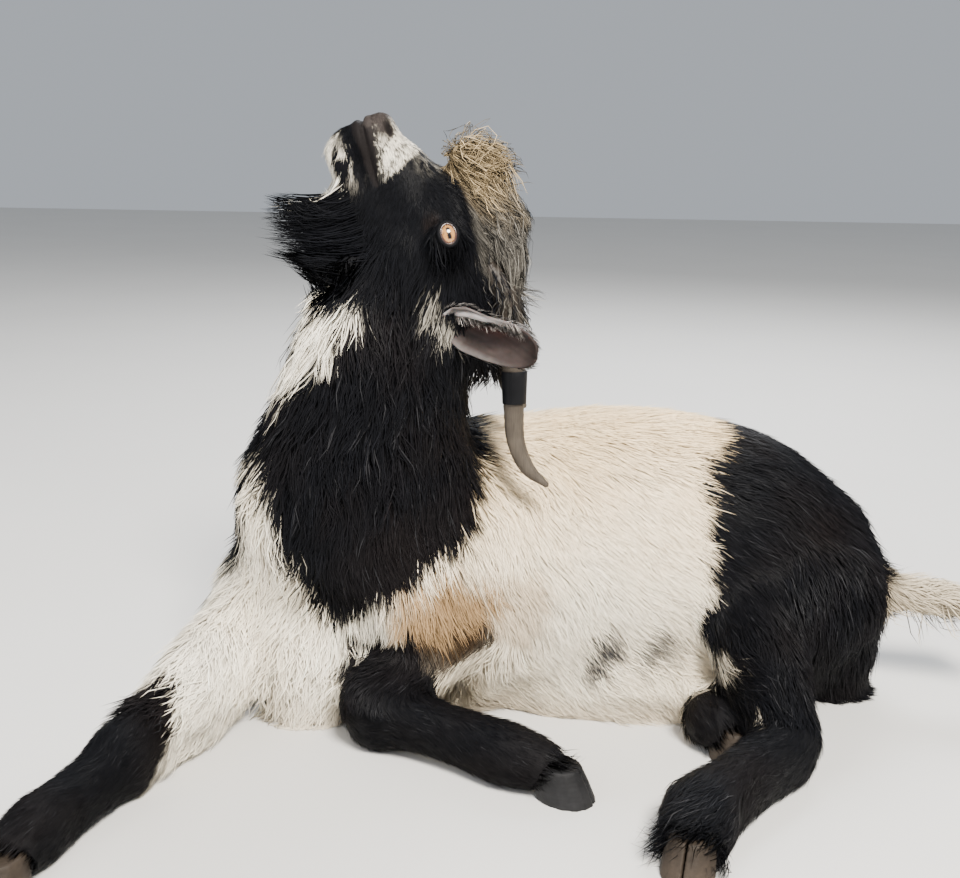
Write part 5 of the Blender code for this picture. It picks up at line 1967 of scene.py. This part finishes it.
@dataclass(frozen=True)
class Band:
    """Tape wound round the left horn, in turns of an inner depth, an outer depth and a share of the way."""

    sides: int = 40
    top: float = 0.333
    bottom: float = 0.3035
    turns: tuple[Triple, ...] = ((0.0, 0.0012, 1), (0.0012, 0.0018, 1 / 3))

    def build(self) -> Obj:
        """A flat sleeve with a lapped end and soft edges."""
        rows = Horn(Side.LEFT).stations()
        rows = rows[(rows[:, 2] < self.top) & (rows[:, 2] > self.bottom)]
        bm = bmesh.new()
        for low, high, share in self.turns:
            angles = 2 * math.pi * np.arange(int(self.sides * share)) / self.sides
            reach = rows[:, None, 3:] * 1.02
            inner, outer = (rounds(rows, angles, reach + depth) for depth in (low, high))
            pairs = np.stack([inner, outer], axis=2).reshape(len(rows), -1, 3)
            self._walls(bm, [[bm.verts.new(place) for place in ring] for ring in pairs], closed=share == 1)
        bmesh.ops.recalc_face_normals(bm, faces=bm.faces)
        mesh = bpy.data.meshes.new("horn_tape")
        bm.to_mesh(mesh)
        bm.free()
        obj = linked("horn_tape", mesh)
        apply(obj, "BEVEL", width=0.0003, segments=2)
        obj.data.shade_smooth()
        dress(obj, TapeFinish(), ("horn_band",))
        return obj

    @staticmethod
    def _walls(bm: bmesh.types.BMesh, rings: list[list[bmesh.types.BMVert]], closed: bool) -> None:
        """Joins rings of points into a wall of tape.

        Args:
            bm: where the faces go.
            rings: inner and outer points in turn, round each station.
            closed: whether the wall goes all the way round.
        """
        pairs = len(rings[0]) // 2
        steps = [(2 * i, 2 * ((i + 1) % pairs)) for i in range(pairs if closed else pairs - 1)]
        for a, b in zip(rings, rings[1:]):
            for i, j in steps:
                bm.faces.new((a[i + 1], a[j + 1], b[j + 1], b[i + 1]))
                bm.faces.new((a[i], b[i], b[j], a[j]))
            if not closed:
                bm.faces.new((a[0], a[1], b[1], b[0]))
                bm.faces.new((a[-2], b[-2], b[-1], a[-1]))
        for ring in (rings[0], rings[-1]):
            for i, j in steps:
                bm.faces.new((ring[i], ring[i + 1], ring[j + 1], ring[j]))


@dataclass(frozen=True)
class Studio:
    """Camera, floor and lights. The camera's pitch is from straight down, and its angles are in degrees."""

    place: Triple = (-0.0773, -1.0276, 0.53)
    pitch: float = 76.1
    roll: float = 1.0
    lens: float = 46.875
    # Name, place, size, power and colour of each light, and colour and strength of the sky.
    LAMPS = (("key", (0.5, -1.9, 2.3), 0.9, 300, (1.0, 0.95, 0.87)),
             ("fill", (-2.2, -1.5, 1.5), 2.4, 46, (0.95, 0.97, 1.0)),
             ("rim", (0.6, 1.9, 2.0), 1.4, 90, (0.95, 0.97, 1.0)))
    SKY = ((0.86, 0.92, 1.0, 1.0), 0.52)

    def camera(self) -> None:
        """The one camera."""
        data = bpy.data.cameras.new("camera")
        data.sensor_fit = "HORIZONTAL"
        data.sensor_width = 36
        data.lens = self.lens
        obj = linked("camera", data)
        pitch = Matrix.Rotation(math.radians(self.pitch), 4, "X")
        roll = Matrix.Rotation(math.radians(self.roll), 4, "Z")
        obj.matrix_world = Matrix.Translation(self.place) @ pitch @ roll
        bpy.context.scene.camera = obj

    def floor(self) -> None:
        """A plain pale floor."""
        obj = shaped("floor", bpy.ops.mesh.primitive_plane_add, size=14)
        obj.data.materials.append(FloorFinish().material())

    def lights(self) -> None:
        """Hangs the lamps, turned towards the goat, and lights the sky."""
        for name, place, size, power, colour in self.LAMPS:
            data = bpy.data.lights.new(name, "AREA")
            data.shape = "DISK"
            data.size = size
            data.energy = power
            data.color = colour
            lamp = linked(name, data)
            lamp.location = place
            way = Vector((0, 0.1, 0.2)) - lamp.location
            lamp.rotation_euler = way.to_track_quat("-Z", "Y").to_euler()
        world = bpy.data.worlds.new("sky")
        world.use_nodes = True
        inputs = world.node_tree.nodes["Background"].inputs
        inputs["Color"].default_value, inputs["Strength"].default_value = self.SKY
        bpy.context.scene.world = world


def main() -> None:
    """Builds the goat and the studio."""
    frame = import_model()
    logging.basicConfig(level=logging.INFO, format="%(name)s: %(message)s")
    bpy.ops.object.select_all(action="DESELECT")
    studio = Studio()
    studio.camera()
    coat_map, markings = CoatMap(), Markings()
    skin = Skin(frame["nodes"], coat_map, markings)
    coat = Coat(skin, coat_map, markings, thickness=1.0)
    roots = coat.roots()
    coat.grow(roots)
    Beard().build(coat, roots)
    for ear in (Ear(Side.LEFT, (0.045, -0.05, 0.356)), Ear(Side.RIGHT, (0.024, 0.112, 0.33))):
        ear.build()
        ear.build_hair(coat, roots)
        log.info("ear_%s: skin and %d hairs", ear.side.word, ear.hairs)
    for side in Side:
        Eye(EyeShape(side)).build()
        Horn(side).build()
        fuzz = HornFuzz(side)
        fuzz.build(coat, roots)
        log.info("%s eye, and horn with %d curls at its root", side.word, fuzz.count)
    Band().build()
    Claws().build(frame["nodes"])
    studio.floor()
    studio.lights()
    log.info("horn tape, claws and studio")


if __name__ == "__main__":
    main()
